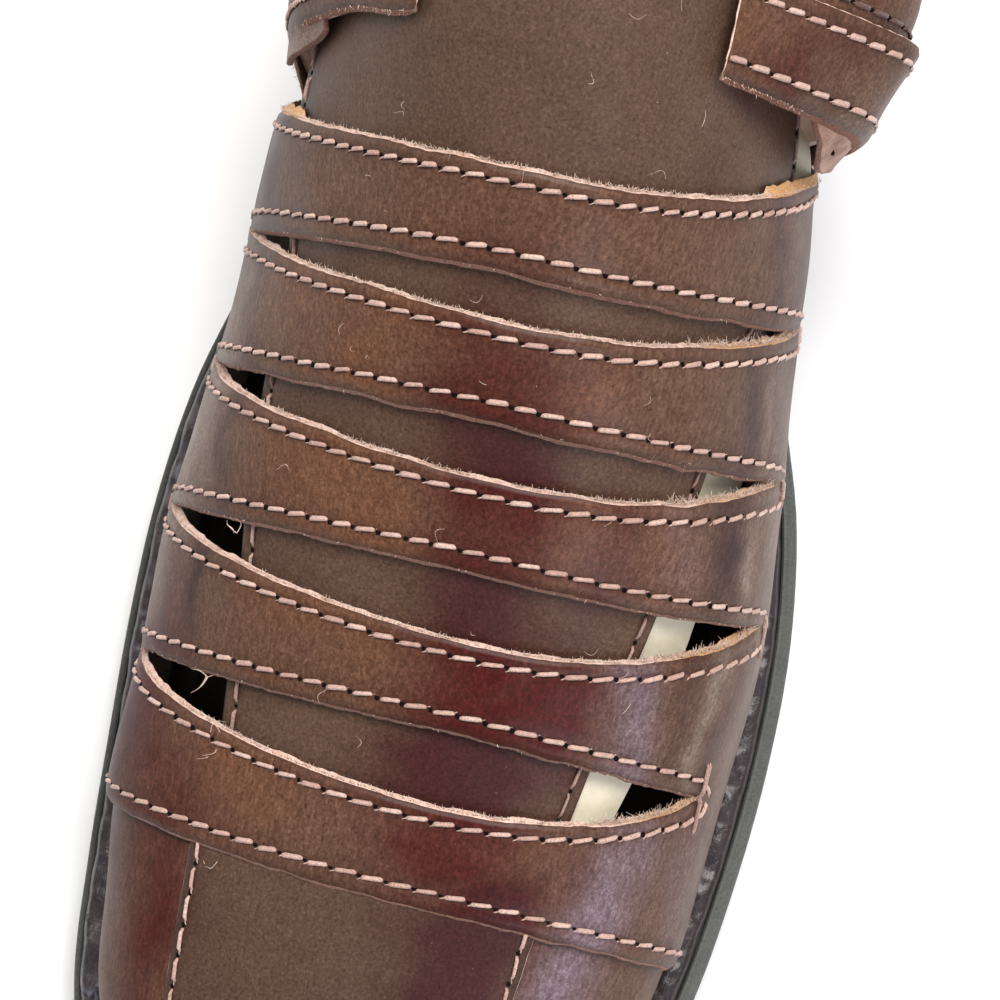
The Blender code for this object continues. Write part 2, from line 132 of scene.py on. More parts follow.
# u, how far the slack quarter stands out on the lateral side, on the medial side
FLARE = (
    (40, 0.0, 0.0), (55, 0.9, 3.8), (70, 2.8, 10.8), (84, 4.2, 15.6), (92, 4.4, 14.9), (96, 4.3, 13.4),
    (100, 4.1, 11.2), (104, 3.8, 9.3), (107, 3.4, 8.2), (111, 1.8, 4.0), (115, 0.3, 0.5), (119, 0.0, 0.0),
)
FLARE_FROM, FLARE_TO = 0.2, 0.9
# Slits: u on the crest, at the lateral end, at the medial end, width on the crest, v of the lateral end, of the medial end, fullness
SLITS = {
    "a_b": (213.5, 205.2, 208.2, 11.4, -0.84, 0.69, 1.5),
    "b_c": (189.8, 182.0, 180.4, 10.3, -0.825, 0.757, 1.5),
    "c_d": (168.0, 159.0, 158.6, 8.0, -0.80, 0.760, 1.5),
    "d_e": (147.6, 138.2, 134.6, 6.6, -0.80, 0.83, 1.5),
    "e_f": (121.5, 115.0, 108.0, 19.0, -0.90, 0.90, 2.2),
}
SEAM_END = {"b_c": 0.785, "c_d": 0.785}  # v that the stitches go round, where the slit itself stops short of them
STRAP_A_LOW = (234.0, 227.0, 235.0)  # u on the crest, lateral, medial
STRAP_F_WIDE = 13.9
# u, v of the collar edge lateral, medial
COLLAR = (
    (40, 0.76, 0.76), (52, 0.775, 0.775), (62, 0.75, 0.75), (72, 0.67, 0.67), (82, 0.54, 0.56),
    (91, 0.42, 0.46), (100, 0.33, 0.405), (116, 0.312, 0.41),
)
COLLAR_HEEL = ((0, 0.76), (45, 0.70), (90, 0.657), (135, 0.70), (180, 0.76))  # degrees round the heel, v
# u, v of the tongue's edge lateral, medial
TONGUE = (
    (86, 0.30, 0.30), (88, 0.46, 0.48), (93, 0.60, 0.64), (100, 0.68, 0.74), (116, 0.70, 0.78),
    (139, 0.613, 0.662), (164, 0.554, 0.512), (187, 0.508, 0.404), (210, 0.475, 0.321), (230, 0.44, 0.28),
)
# u, width of cream lining beyond the tongue's edge lateral, medial
LINING = ((86, 0.2, 1.0), (105, 0.3, 2.4), (122, 0.3, 3.0), (137, 0.3, 8.5), (161, 0.3, 10.8), (183, 0.3, 9.6), (205, 0.3, 11.0), (232, 0.3, 6.0))
# u, x of the toe panel's edge lateral, medial
PANEL = ((226, -30.1, 27.0), (232, -29.7, 26.4), (244, -28.3, 25.2), (257, -27.1, 24.0), (275, -24.4, 22.4), (296, -20.5, 19.6))
PANEL_STITCH = 1.7  # stitch line to the panel's edge

IN_HIGH, IN_LOW, IN_END = 2.0, 2.6, 2.5  # stitch line to the heelward cut edge, to the toeward one, round the ends of the slits
PITCH = 4.2
DROOP = 0.20  # how far a strap's edge lies under its middle
TROUGH = 0.17
BEVEL_HIGH, BEVEL_LOW = 0.62, 0.30  # how far the flesh side stands beyond the grain side on the heelward and toeward edges
EDGE_ROUND = 0.42
EDGE_STEPS = (0.0, 0.22, 0.6, 1.1, 1.6, 2.0, 2.4, 2.8, 3.4, 4.8)

# Colour patches of the burnished leather: u, v, half length, half width across, weight. The wine and amber patches are
# the leather's own tones; the dark patches are partly tone and partly painted shade, and the lilac-grey and light grey
# patches are painted highlights.
WINE = (
    (155, 0.00, 11, 0.11, 0.72), (171, 0.045, 13, 0.115, 1.0), (193, 0.03, 13, 0.13, 1.0), (205, 0.06, 9, 0.16, 1.0),
    (199, 0.18, 11, 0.10, 0.95), (226, 0.03, 9, 0.12, 0.9), (226, 0.28, 10, 0.08, 0.4), (244, 0.13, 16, 0.13, 1.0),
    (180, 0.25, 9, 0.07, 0.6), (204, -0.72, 12, 0.10, 0.9), (219, -0.70, 15, 0.12, 1.0), (246, -0.56, 18, 0.14, 1.0),
    (213, 0.02, 8, 0.14, 1.0), (238, 0.12, 11, 0.10, 1.0), (252, 0.13, 14, 0.10, 0.8), (152, -0.80, 12, 0.05, 0.5), (104, 0.56, 10, 0.05, 0.7), (128, 0.50, 9, 0.06, 0.35), (275, -0.5, 12, 0.2, 0.8),
    (272, 0.55, 14, 0.2, 0.6), (90, -0.8, 20, 0.1, 0.5), (60, 0.85, 16, 0.08, 0.5), (262, 0.6, 12, 0.12, 0.5),
)
# Dark purple patches: partly the leather's own darker tone, and on the steep side walls painted shade.
DARK_TONE_AND_PAINTED_SHADE = (
    (130, 0.665, 10, 0.03, 0.55), (150, 0.605, 12, 0.05, 0.75), (170, 0.57, 11, 0.05, 0.85), (192, 0.53, 9, 0.04, 0.45),
    (200, 0.70, 8, 0.03, 0.5), (262, -0.10, 26, 0.34, 0.42), (172, -0.60, 12, 0.035, 0.55), (194, -0.585, 11, 0.035, 0.8), (150, -0.60, 10, 0.04, 0.4),
    (232, 0.12, 9, 0.08, 0.35), (128, -0.68, 14, 0.12, 0.9), (128, 0.84, 16, 0.10, 0.9), (224, -0.74, 12, 0.05, 0.5), (70, -0.9, 20, 0.06, 0.5), (20, 0.8, 20, 0.1, 0.3),
)
AMBER = (
    (152, -0.20, 12, 0.14, 0.8), (150, -0.45, 11, 0.09, 0.7), (171, -0.30, 12, 0.15, 0.9), (178, -0.19, 10, 0.09, 0.8),
    (190, -0.25, 12, 0.15, 0.95), (155, 0.12, 10, 0.08, 0.8), (172, 0.16, 12, 0.07, 0.85), (196, 0.24, 10, 0.05, 0.3),
    (222, -0.35, 12, 0.14, 0.7), (222, 0.12, 9, 0.10, 0.5), (176, 0.40, 12, 0.09, 0.4), (250, -0.42, 14, 0.05, 0.6),
    (128, 0.1, 10, 0.2, 0.3), (102, 0.48, 8, 0.05, 0.5), (80, 0.8, 25, 0.1, 0.4), (75, -0.8, 25, 0.1, 0.4),
)
# Lilac-grey patches: painted sheen, a highlight put into the base colour.
PAINTED_SHEEN = (
    (195, 0.325, 9, 0.06, 0.65), (203, 0.38, 9, 0.065, 0.7), (229, 0.37, 13, 0.05, 0.6), (219, 0.48, 9, 0.11, 0.7), (231, 0.42, 12, 0.10, 0.85),
    (243, 0.40, 14, 0.10, 0.9), (252, 0.50, 12, 0.12, 0.6), (222, 0.72, 12, 0.09, 0.35), (176, 0.45, 8, 0.07, 0.25),
)
# Light grey patches: painted highlights on the steep side walls, where a lamp's reflection would fall.
PAINTED_HIGHLIGHT = (
    (149, -0.70, 11, 0.06, 0.45), (169, -0.735, 12, 0.06, 1.0), (189, -0.75, 11, 0.05, 0.5), (173, 0.66, 10, 0.035, 0.9), (196, 0.62, 8, 0.03, 0.8), (150, 0.69, 9, 0.03, 0.5),
    (162, 0.80, 14, 0.07, 0.5), (182, 0.82, 12, 0.07, 0.5), (106, 0.66, 8, 0.06, 0.4),
)


def hermite(t, y, q):
    """Smooth curve through the points of a table."""
    t, y = np.asarray(t, float), np.asarray(y, float)
    q = np.clip(np.asarray(q, float), t[0], t[-1])
    wide = (slice(None),) + (None,) * (y.ndim - 1)
    d = np.diff(t)
    s = np.diff(y, axis=0) / d[wide]
    m = np.empty_like(y)
    m[1:-1] = (s[:-1] * d[1:][wide] + s[1:] * d[:-1][wide]) / (d[1:] + d[:-1])[wide]
    m[0], m[-1] = s[0], s[-1]
    i = np.clip(np.searchsorted(t, q, side="right") - 1, 0, len(t) - 2)
    h = t[i + 1] - t[i]
    x = (q - t[i]) / h
    if y.ndim > 1:
        h, x = h[..., None], x[..., None]
    return (
        (1 + 2 * x) * (1 - x) ** 2 * y[i]
        + x * (1 - x) ** 2 * h * m[i]
        + x * x * (3 - 2 * x) * y[i + 1]
        + x * x * (x - 1) * h * m[i + 1]
    )


def column(table, k):
    """Column k of a table as a smooth function of its first column."""
    return lambda q: hermite([row[0] for row in table], [row[k] for row in table], q)


margin, sole_top, crest_rise = column(MARGIN, 1), column(TOP, 1), column(CREST, 1)
crest_shift, power_lat, power_med, bulge_lat, bulge_med = (column(SHAPE, k) for k in range(1, 6))
flare_lat, flare_med = column(FLARE, 1), column(FLARE, 2)


def sole_bottom(u):
    return np.interp(u, [row[0] for row in BOTTOM], [row[1] for row in BOTTOM])


def outline_ring(count=1440):
    """Closed outline of the outsole as (x, u): heel tip, lateral side, toe tip, medial side."""
    lateral = [(row[1], row[0]) for row in OUTLINE]
    medial = [(row[2], row[0]) for row in OUTLINE][::-1]
    loop = [HEEL_TIP[::-1]] + lateral + [TOE_TIP[::-1]] + medial
    points = np.array(loop * 3 + loop[:1], float)
    t = np.concatenate([[0], np.cumsum(np.linalg.norm(np.diff(points, axis=0), axis=1))])
    n = len(loop)
    return hermite(t, points, np.linspace(t[n], t[2 * n], count, endpoint=False))


RING = outline_ring()
ALONG = np.roll(RING, -1, 0) - np.roll(RING, 1, 0)
OUTWARD = np.stack([-ALONG[:, 1], ALONG[:, 0]], 1) / np.linalg.norm(ALONG, axis=1)[:, None]
OUTWARD = OUTWARD * np.sign((OUTWARD * (RING - RING.mean(0))).sum(1).mean())
MIDDLE = (RING.max(0) + RING.min(0)) / 2 - (0.0, LENGTH / 2)
INSETS = {}


def place(points):
    """Points in millimetres as world coordinates in metres."""
    return (np.asarray(points, float) + (-MIDDLE[0], MIDDLE[1], 0.0)) * MM


def inset_ring(extra):
    """Lateral half, medial half and whole of the feather line moved in by extra."""
    key = round(float(extra), 4)
    if key not in INSETS:
        ring = RING - OUTWARD * (margin(RING[:, 1]) + extra)[:, None]
        n, back, front = len(ring), int(ring[:, 1].argmin()), int(ring[:, 1].argmax())
        one = ring[np.arange(back, back + (front - back) % n + 1) % n]
        two = ring[np.arange(back, back - (back - front) % n - 1, -1) % n]
        if one[len(one) // 2, 0] > two[len(two) // 2, 0]:
            one, two = two, one
        INSETS[key] = (one, two, ring)
    return INSETS[key]


def feather(u, inset):
    lateral, medial, _ = inset_ring(inset)
    return np.interp(u, lateral[:, 1], lateral[:, 0]), np.interp(u, medial[:, 1], medial[:, 0])


def toe_tip(inset):
    return inset_ring(inset)[0][-1, 1]


def crest_height(u, inset):
    slope = (crest_rise(u - 2) + sole_top(u - 2) - crest_rise(u + 2) - sole_top(u + 2)) / 4
    tall = crest_rise(u) - inset * np.sqrt(1 + slope**2)
    q = np.clip((toe_tip(inset) - u) / (TOE_ROUND - inset), 0, 1)
    return tall * (1 - (1 - q) ** TOE_POWER) ** (1 / TOE_POWER)


def swell(c):
    """Share of the bulge at the share c of the height."""
    peak = BULGE_LOW / (BULGE_LOW + BULGE_HIGH)
    return (c / peak) ** BULGE_LOW * ((1 - c) / (1 - peak)) ** BULGE_HIGH


def stand_out(c):
    """Share of the flare at the share c of the height."""
    s = np.clip((c - FLARE_FROM) / (FLARE_TO - FLARE_FROM), 0, 1)
    return 16 * s**2 * (1 - s) ** 2


def last(u, v, inset=0.0, slack=1.0):
    """Point on the upper: its outer face at inset 0, and faces inside it at larger insets."""
    u, v = np.broadcast_arrays(np.asarray(u, float), np.asarray(v, float))
    lateral, medial = feather(u, inset)
    half = (medial - lateral) / 2
    crest = (medial + lateral) / 2 + crest_shift(u) * half
    a = np.abs(v) * math.pi / 2
    n = np.where(v < 0, power_lat(u), power_med(u))
    s, c = np.sin(a) ** (2 / n), np.clip(np.cos(a), 0, 1) ** (2 / n)
    out = np.where(v < 0, bulge_lat(u), bulge_med(u)) * np.clip(half / 25, 0, 1) * swell(c)
    out = out + slack * np.where(v < 0, flare_lat(u), flare_med(u)) * stand_out(c)
    x = np.where(v < 0, crest + (lateral - crest) * s - out, crest + (medial - crest) * s + out)
    z = sole_top(u) + GAP + crest_height(u, inset) * c
    return np.stack([x, LENGTH / 2 - u, z], -1)


def heel(degrees, v, inset=0.0):
    """The same round the heel: 0 degrees lateral, 90 at the back, 180 medial."""
    degrees, v = np.broadcast_arrays(np.asarray(degrees, float), np.asarray(v, float))
    ring = inset_ring(inset)[2]
    lateral, medial = feather(HEEL_CENTRE_U, inset)
    centre = (lateral + medial) / 2
    back = ring[ring[:, 1] <= HEEL_CENTRE_U + 6]
    turn = np.degrees(np.arctan2(HEEL_CENTRE_U - back[:, 1], centre - back[:, 0]))
    reach = np.hypot(back[:, 0] - centre, HEEL_CENTRE_U - back[:, 1])
    order = np.argsort(turn)
    r = np.interp(degrees, turn[order], reach[order])
    a = np.abs(v) * math.pi / 2
    n = power_lat(HEEL_CENTRE_U)
    s, c = np.sin(a) ** (2 / n), np.clip(np.cos(a), 0, 1) ** (2 / n)
    w = r * s + bulge_lat(HEEL_CENTRE_U) * swell(c)
    f = np.radians(degrees)
    z = sole_top(HEEL_CENTRE_U - r * np.sin(f)) + GAP + crest_height(HEEL_CENTRE_U, inset) * c
    return np.stack([centre - np.cos(f) * w, LENGTH / 2 - HEEL_CENTRE_U + np.sin(f) * w, z], -1)


def slit(name, v, side, seam=False):
    """u of a slit's lip at v: side 1 is the lip towards the toe, -1 the one towards the heel."""
    crest, lateral, medial, width, v_lat, v_med, full = SLITS[name]
    v_med = SEAM_END.get(name, v_med) if seam else v_med
    v = np.asarray(v, float)
    r = np.clip(np.where(v < 0, v / v_lat, v / v_med), 0, 1)
    middle = crest + (np.where(v < 0, lateral, medial) - crest) * r**2
    return middle + side * width / 2 * (1 - r**full) ** 0.8


def strap_f_low(v):
    """Toeward edge of the sixth strap, which lies a little above the gap's lip on the lateral side."""
    v = np.asarray(v, float)
    return slit("e_f", v, -1) - 1.9 * smooth((-v - 0.36) / 0.15) * smooth((v + 0.92) / 0.2)


def strap_f_proud(v):
    """How far the sixth strap stands off the quarter on the medial side."""
    v = np.asarray(v, float)
    return 1.8 * smooth((v - 0.585) / 0.13) * smooth((0.98 - v) / 0.16)


def strap_a_low(v):
    crest, lateral, medial = STRAP_A_LOW
    return crest + (np.where(np.asarray(v) < 0, lateral, medial) - crest) * np.abs(v) ** 2


# ---------------------------------------------------------------- fields


def ripple(points, size, seed):
    """Smooth irregular field, mostly between -1 and 1, with features of about the given size."""
    rng = np.random.default_rng(seed)
    total = np.zeros(np.shape(points)[:-1])
    for _ in range(8):
        way = rng.normal(size=3)
        way *= 2 * math.pi / size * rng.uniform(0.55, 1.45) / np.linalg.norm(way)
        total += np.sin(points @ way + rng.uniform(0, 2 * math.pi))
    return total / 2.6


def smooth(x):
    x = np.clip(x, 0, 1)
    return x * x * (3 - 2 * x)


def between(one, two, depth):
    return one + (two - one) * (np.asarray(depth, float) / 2)[..., None]


def skin(u, v, depth, slack=1.0):
    """Point of the upper at a depth under its outer face."""
    u, v, depth = np.broadcast_arrays(np.asarray(u, float), np.asarray(v, float), np.asarray(depth, float))
    return between(last(u, v, 0.0, slack), last(u, v, 2.0, slack), depth)


def toe_skin(share, v, depth):
    """The same on the toe: share 0 at the tip, 1 at the first strap's lower edge."""
    share, v, depth = np.broadcast_arrays(np.asarray(share, float), np.asarray(v, float), np.asarray(depth, float))
    faces = []
    for inset in (0.0, 2.0):
        tip = toe_tip(inset)
        faces.append(last(tip - (tip - strap_a_low(v)) * share, v, inset))
    return between(*faces, depth)


def uneven(points):
    """Slight waviness of the leather, as depth."""
    return 0.20 * ripple(points, 40, 11) + 0.07 * ripple(points, 15, 12)


def patch(u, v, rows):
    total = np.zeros(np.shape(u))
    for u0, v0, long, wide, weight in rows:
        total = np.maximum(total, weight * np.exp(-(((u - u0) / long) ** 2) - ((v - v0) / wide) ** 2) + 0.55 * total * (total < 1))
    return np.clip(total, 0, 1)


def burnish(u, v, points):
    """Colour patches at each point, with uneven edges: the leather's own tones, painted shade and painted highlights.
    """
    a = u + 3.5 * ripple(points, 30, 3) + 1.2 * ripple(points, 9, 5)
    b = v + 0.035 * ripple(points, 26, 4) + 0.012 * ripple(points, 8, 6)
    made = {"wine": WINE, "dark_tone_and_painted_shade": DARK_TONE_AND_PAINTED_SHADE, "amber": AMBER, "painted_sheen": PAINTED_SHEEN, "painted_highlight": PAINTED_HIGHLIGHT}
    return {key: patch(a, b, rows) for key, rows in made.items()}


# ---------------------------------------------------------------- meshes


def mesh_object(name, verts, faces, materials, face_slot=None, fields=None, sharp=38.0):
    data = bpy.data.meshes.new(name)
    data.from_pydata(place(verts).tolist(), [], faces if isinstance(faces, list) else faces.tolist())
    for material in materials:
        data.materials.append(material)
    if face_slot is not None:
        data.polygons.foreach_set("material_index", np.asarray(face_slot, np.int32))
    for key, values in (fields or {}).items():
        layer = data.attributes.new(key, "FLOAT", "POINT")
        layer.data.foreach_set("value", np.asarray(values, np.float32))
    data.update()
    data.shade_smooth()
    if sharp:
        data.set_sharp_from_angle(angle=math.radians(sharp))
    made = bpy.data.objects.new(name, data)
    bpy.context.scene.collection.objects.link(made)
    return made


class Shell:
    """Leather sheets, each with a grain side, a flesh side and a cut edge between them."""

    def __init__(self):
        self.outer, self.inner, self.fields, self.quads, self.count = [], [], [], [], 0

    def block(self, outer, inner, fields):
        rows, cols = outer.shape[:2]
        index = self.count + np.arange(rows * cols).reshape(rows, cols)
        self.quads.append(np.stack([index[:-1, :-1], index[:-1, 1:], index[1:, 1:], index[1:, :-1]], -1).reshape(-1, 4))
        self.outer.append(outer.reshape(-1, 3))
        self.inner.append(inner.reshape(-1, 3))
        self.fields.append({key: np.broadcast_to(value, (rows, cols)).reshape(-1) for key, value in fields.items()})
        self.count += rows * cols

    def build(self, name, materials, fuzz=0.10, swollen=0.14, seed=1, wall_slot=1, inner_slot=2):
        outer, inner = np.concatenate(self.outer), np.concatenate(self.inner)
        fields = {key: np.concatenate([one[key] for one in self.fields]) for key in self.fields[0]}
        _, first, where = np.unique(np.round(outer / 0.002).astype(np.int64), axis=0, return_index=True, return_inverse=True)
        where = where.reshape(-1)
        outer, inner = outer[first], inner[first]
        fields = {key: values[first] for key, values in fields.items()}
        quads = where[np.concatenate(self.quads)]
        grain = []
        for quad in quads.tolist():
            corners = [c for k, c in enumerate(quad) if c != quad[k - 1]]
            if len(set(corners)) > 2 and len(set(corners)) == len(corners):
                grain.append(corners)
        n = len(outer)
        seen = {}
        for number, face in enumerate(grain):
            for a, b in zip(face, face[1:] + face[:1]):
                seen.setdefault((min(a, b), max(a, b)), []).append((a, b, number))
        free = [uses[0] for uses in seen.values() if len(uses) == 1]
        rim = sorted({a for a, b, _ in free} | {b for a, b, _ in free})
        slot = {vertex: k for k, vertex in enumerate(rim)}
        out = np.zeros((len(rim), 3))
        for a, b, number in free:
            way = (outer[a] + outer[b]) / 2 - outer[grain[number]].mean(0)
            way /= np.linalg.norm(way) + 1e-9
            out[slot[a]] += way
            out[slot[b]] += way
        out /= np.linalg.norm(out, axis=1)[:, None] + 1e-9
        rng = np.random.default_rng(seed)
        levels = (0.16, 0.42, 0.70, 0.92)
        verts = [outer, inner]
        for t in levels:
            body = outer[rim] * (1 - t) + inner[rim] * t
            verts.append(body + out * (swollen * math.sin(math.pi * t) + fuzz * rng.uniform(-1, 1, (len(rim), 1))) + fuzz * 0.4 * rng.uniform(-1, 1, (len(rim), 3)))
        faces = list(grain) + [[n + c for c in reversed(face)] for face in grain]
        slots = [0] * len(grain) + [inner_slot] * len(grain)
        for a, b, _ in free:
            one = [a] + [2 * n + k * len(rim) + slot[a] for k in range(len(levels))] + [n + a]
            two = [b] + [2 * n + k * len(rim) + slot[b] for k in range(len(levels))] + [n + b]
            for k in range(len(one) - 1):
                faces.append([two[k], one[k], one[k + 1], two[k + 1]])
                slots.append(wall_slot)
        full = {key: np.concatenate([values, values] + [values[rim]] * len(levels)) for key, values in fields.items()}
        return mesh_object(name, np.concatenate(verts), faces, materials, slots, full)


class Bits:
    """Many small closed pieces joined in one mesh."""

    def __init__(self):
        self.verts, self.faces, self.tone, self.count = [], [], [], 0

    def tubes(self, centres, frames, radii, tone, sides=6):
        """centres: K x R x 3, frames: two K x R x 3 arrays across, radii: two K x R arrays."""
        pieces, rings = centres.shape[:2]
        turn = np.arange(sides) * 2 * math.pi / sides
        ring = (
            centres[:, :, None]
            + frames[0][:, :, None] * (radii[0][..., None] * np.cos(turn))[..., None]
            + frames[1][:, :, None] * (radii[1][..., None] * np.sin(turn))[..., None]
        )
        each = rings * sides
        base = self.count + np.arange(pieces)[:, None] * each
        quads = []
        for r in range(rings - 1):
            for s in range(sides):
                t = (s + 1) % sides
                quads.append([r * sides + s, r * sides + t, (r + 1) * sides + t, (r + 1) * sides + s])
        quads = (base[:, None, :] + np.array(quads)[None]).reshape(-1, 4)
        self.faces += quads.tolist()
        for cap in ([s for s in reversed(range(sides))], [(rings - 1) * sides + s for s in range(sides)]):
            self.faces += (base + np.array(cap)[None]).tolist()
        self.verts.append(ring.reshape(-1, 3))
        self.tone.append(np.repeat(tone, each))
        self.count += pieces * each

    def build(self, name, material, sharp=None):
        return mesh_object(name, np.concatenate(self.verts), self.faces, [material], fields={"tone": np.concatenate(self.tone)}, sharp=sharp)


def unit(a):
    return a / (np.linalg.norm(a, axis=-1, keepdims=True) + 1e-12)


class Seam:
    """A stitch line on a surface: points and outward normals, read by length."""

    def __init__(self, points, normals):
        self.points, self.normals = points, unit(normals)
        self.length = np.concatenate([[0], np.cumsum(np.linalg.norm(np.diff(points, axis=0), axis=1))])

    def at(self, s):
        p = np.stack([np.interp(s, self.length, self.points[:, k]) for k in range(3)], -1)
        n = unit(np.stack([np.interp(s, self.length, self.normals[:, k]) for k in range(3)], -1))
        q = np.stack([np.interp(s + 0.3, self.length, self.points[:, k]) - np.interp(s - 0.3, self.length, self.points[:, k]) for k in range(3)], -1)
        t = unit(q)
        return p, n, t, unit(np.cross(n, t))


def sew(thread, holes, seam, pitch=PITCH, long=0.80, width=0.37, high=0.27, slant=0.46, seed=1, tail=True, hole=0.40):
    """Stitches, the thin thread between them and the needle holes along a seam; the holes are near-black discs, painted
    shade.
    """
    rng = np.random.default_rng(seed)
    total = seam.length[-1]
    count = max(2, int(round(total / pitch)))
    pitch = total / count
    start = np.arange(count) * pitch + rng.uniform(-0.12, 0.12, count) + 0.1
    run = pitch * long * rng.uniform(0.93, 1.05, count)
    t = np.linspace(0, 1, 7)
    s = start[:, None] + run[:, None] * t
    p, n, along, across = seam.at(s)
    arch = np.clip(2.1 * np.sin(math.pi * t), 0, 1) ** 0.6
    skew = slant * rng.uniform(0.75, 1.25, (count, 1)) * (t - 0.5) + rng.uniform(-0.06, 0.06, (count, 1))
    up = -0.20 + (0.20 + high) * arch
    centre = p + n * up[None, :, None] + across * skew[..., None]
    thick = rng.uniform(0.86, 1.1, (count, 1)) * rng.uniform(0.92, 1.08, (count, 7)) * (0.80 + 0.20 * np.clip(2.5 * np.sin(math.pi * t), 0, 1))
    tone = rng.uniform(0, 1, count)
    thread.tubes(centre, (across, n), (width * thick, 0.30 * thick), tone)
    if tail:
        t = np.linspace(0, 1, 5)
        s = start[:, None] + pitch - 0.52 + 0.72 * t
        p, n, along, across = seam.at(s)
        skew = -slant * (1.05 - 0.45 * t[None]) - rng.uniform(0.0, 0.25, (count, 1)) * (1 - t[None])
        centre = p + n * (0.0 + 0.12 * np.sin(math.pi * t))[None, :, None] + across * skew[..., None]
        thin = rng.uniform(0.7, 1.2, (count, 1)) * (0.7 + 0.3 * np.sin(math.pi * t))
        thread.tubes(centre, (across, n), (0.13 * thin, 0.13 * thin), 0.4 + tone * 0.6, sides=5)
    if hole:
        s = (start + run + (pitch - run) * 0.5)[:, None] + np.array([-0.001, 0.001])
        p, n, along, across = seam.at(s)
        centre = np.stack([p[:, 0] - n[:, 0] * 0.25, p[:, 0] + n[:, 0] * 0.10], 1) + across * 0.06
        size = hole * rng.uniform(0.85, 1.15, (count, 1)) * np.array([[1.0, 1.0]])
        holes.tubes(centre, (across, along), (size, size * 0.95), tone, sides=8)


# ---------------------------------------------------------------- materials


class Paint:
    """A node material built step by step on one Principled shader."""

    def __init__(self, name, roughness=0.5, coat=0.0, coat_rough=0.2, specular=0.5, sheen=0.0):
        self.material = bpy.data.materials.new(name)
        self.material.use_nodes = True
        self.tree = self.material.node_tree
        self.shader = self.tree.nodes["Principled BSDF"]
        self.shader.inputs["Roughness"].default_value = roughness
        self.shader.inputs["Coat Weight"].default_value = coat
        self.shader.inputs["Coat Roughness"].default_value = coat_rough
        self.shader.inputs["Specular IOR Level"].default_value = specular
        self.shader.inputs["Sheen Weight"].default_value = sheen
        self.coords = self.tree.nodes.new("ShaderNodeTexCoord").outputs["Object"]

    def link(self, source, target):
        self.tree.links.new(source, target)

    def put(self, socket, value):
        if isinstance(value, bpy.types.NodeSocket):
            self.link(value, socket)
        elif isinstance(value, tuple) and len(value) == 3 and socket.type == "RGBA":
            socket.default_value = (*value, 1.0)
        else:
            socket.default_value = value

    def stretched(self, x, y, z):
        node = self.tree.nodes.new("ShaderNodeMapping")
        node.inputs["Scale"].default_value = (x, y, z)
        self.link(self.coords, node.inputs["Vector"])
        return node.outputs["Vector"]

    def noise(self, size, detail=3.0, rough=0.55, distort=0.0, coords=None):
        """Noise with features of the given size in millimetres."""
        node = self.tree.nodes.new("ShaderNodeTexNoise")
        self.link(coords or self.coords, node.inputs["Vector"])
        node.inputs["Scale"].default_value = 1000.0 / size
        node.inputs["Detail"].default_value = detail
        node.inputs["Roughness"].default_value = rough
        node.inputs["Distortion"].default_value = distort
        return node.outputs["Fac"]

    def cells(self, size, feature="F1", coords=None):
        node = self.tree.nodes.new("ShaderNodeTexVoronoi")
        node.feature = feature
        self.link(coords or self.coords, node.inputs["Vector"])
        node.inputs["Scale"].default_value = 1000.0 / size
        return node.outputs["Distance"]

    def span(self, value, low, high, to_low=0.0, to_high=1.0):
        node = self.tree.nodes.new("ShaderNodeMapRange")
        node.clamp = True
        self.put(node.inputs["Value"], value)
        for key, number in (("From Min", low), ("From Max", high), ("To Min", to_low), ("To Max", to_high)):
            node.inputs[key].default_value = number
        return node.outputs["Result"]

    def math(self, how, a, b=0.0):
        node = self.tree.nodes.new("ShaderNodeMath")
        node.operation = how
        self.put(node.inputs[0], a)
        self.put(node.inputs[1], b)
        return node.outputs[0]

    def mix(self, amount, a, b, how="MIX"):
        node = self.tree.nodes.new("ShaderNodeMix")
        node.data_type = "RGBA"
        node.blend_type = how
        self.put(node.inputs[0], amount)
        self.put(node.inputs[6], a)
        self.put(node.inputs[7], b)
        return node.outputs[2]

    def field(self, name):
        node = self.tree.nodes.new("ShaderNodeAttribute")
        node.attribute_name = name
        return node.outputs["Fac"]

    def bump(self, height, distance_mm, strength=1.0, before=None):
        node = self.tree.nodes.new("ShaderNodeBump")
        self.put(node.inputs["Height"], height)
        node.inputs["Distance"].default_value = distance_mm * MM
        node.inputs["Strength"].default_value = strength
        if before is not None:
            self.link(before, node.inputs["Normal"])
        return node.outputs["Normal"]

    def finish(self, colour, roughness=None, normal=None):
        self.put(self.shader.inputs["Base Color"], colour)
        if roughness is not None:
            self.put(self.shader.inputs["Roughness"], roughness)
        if normal is not None:
            self.link(normal, self.shader.inputs["Normal"])
        return self.material


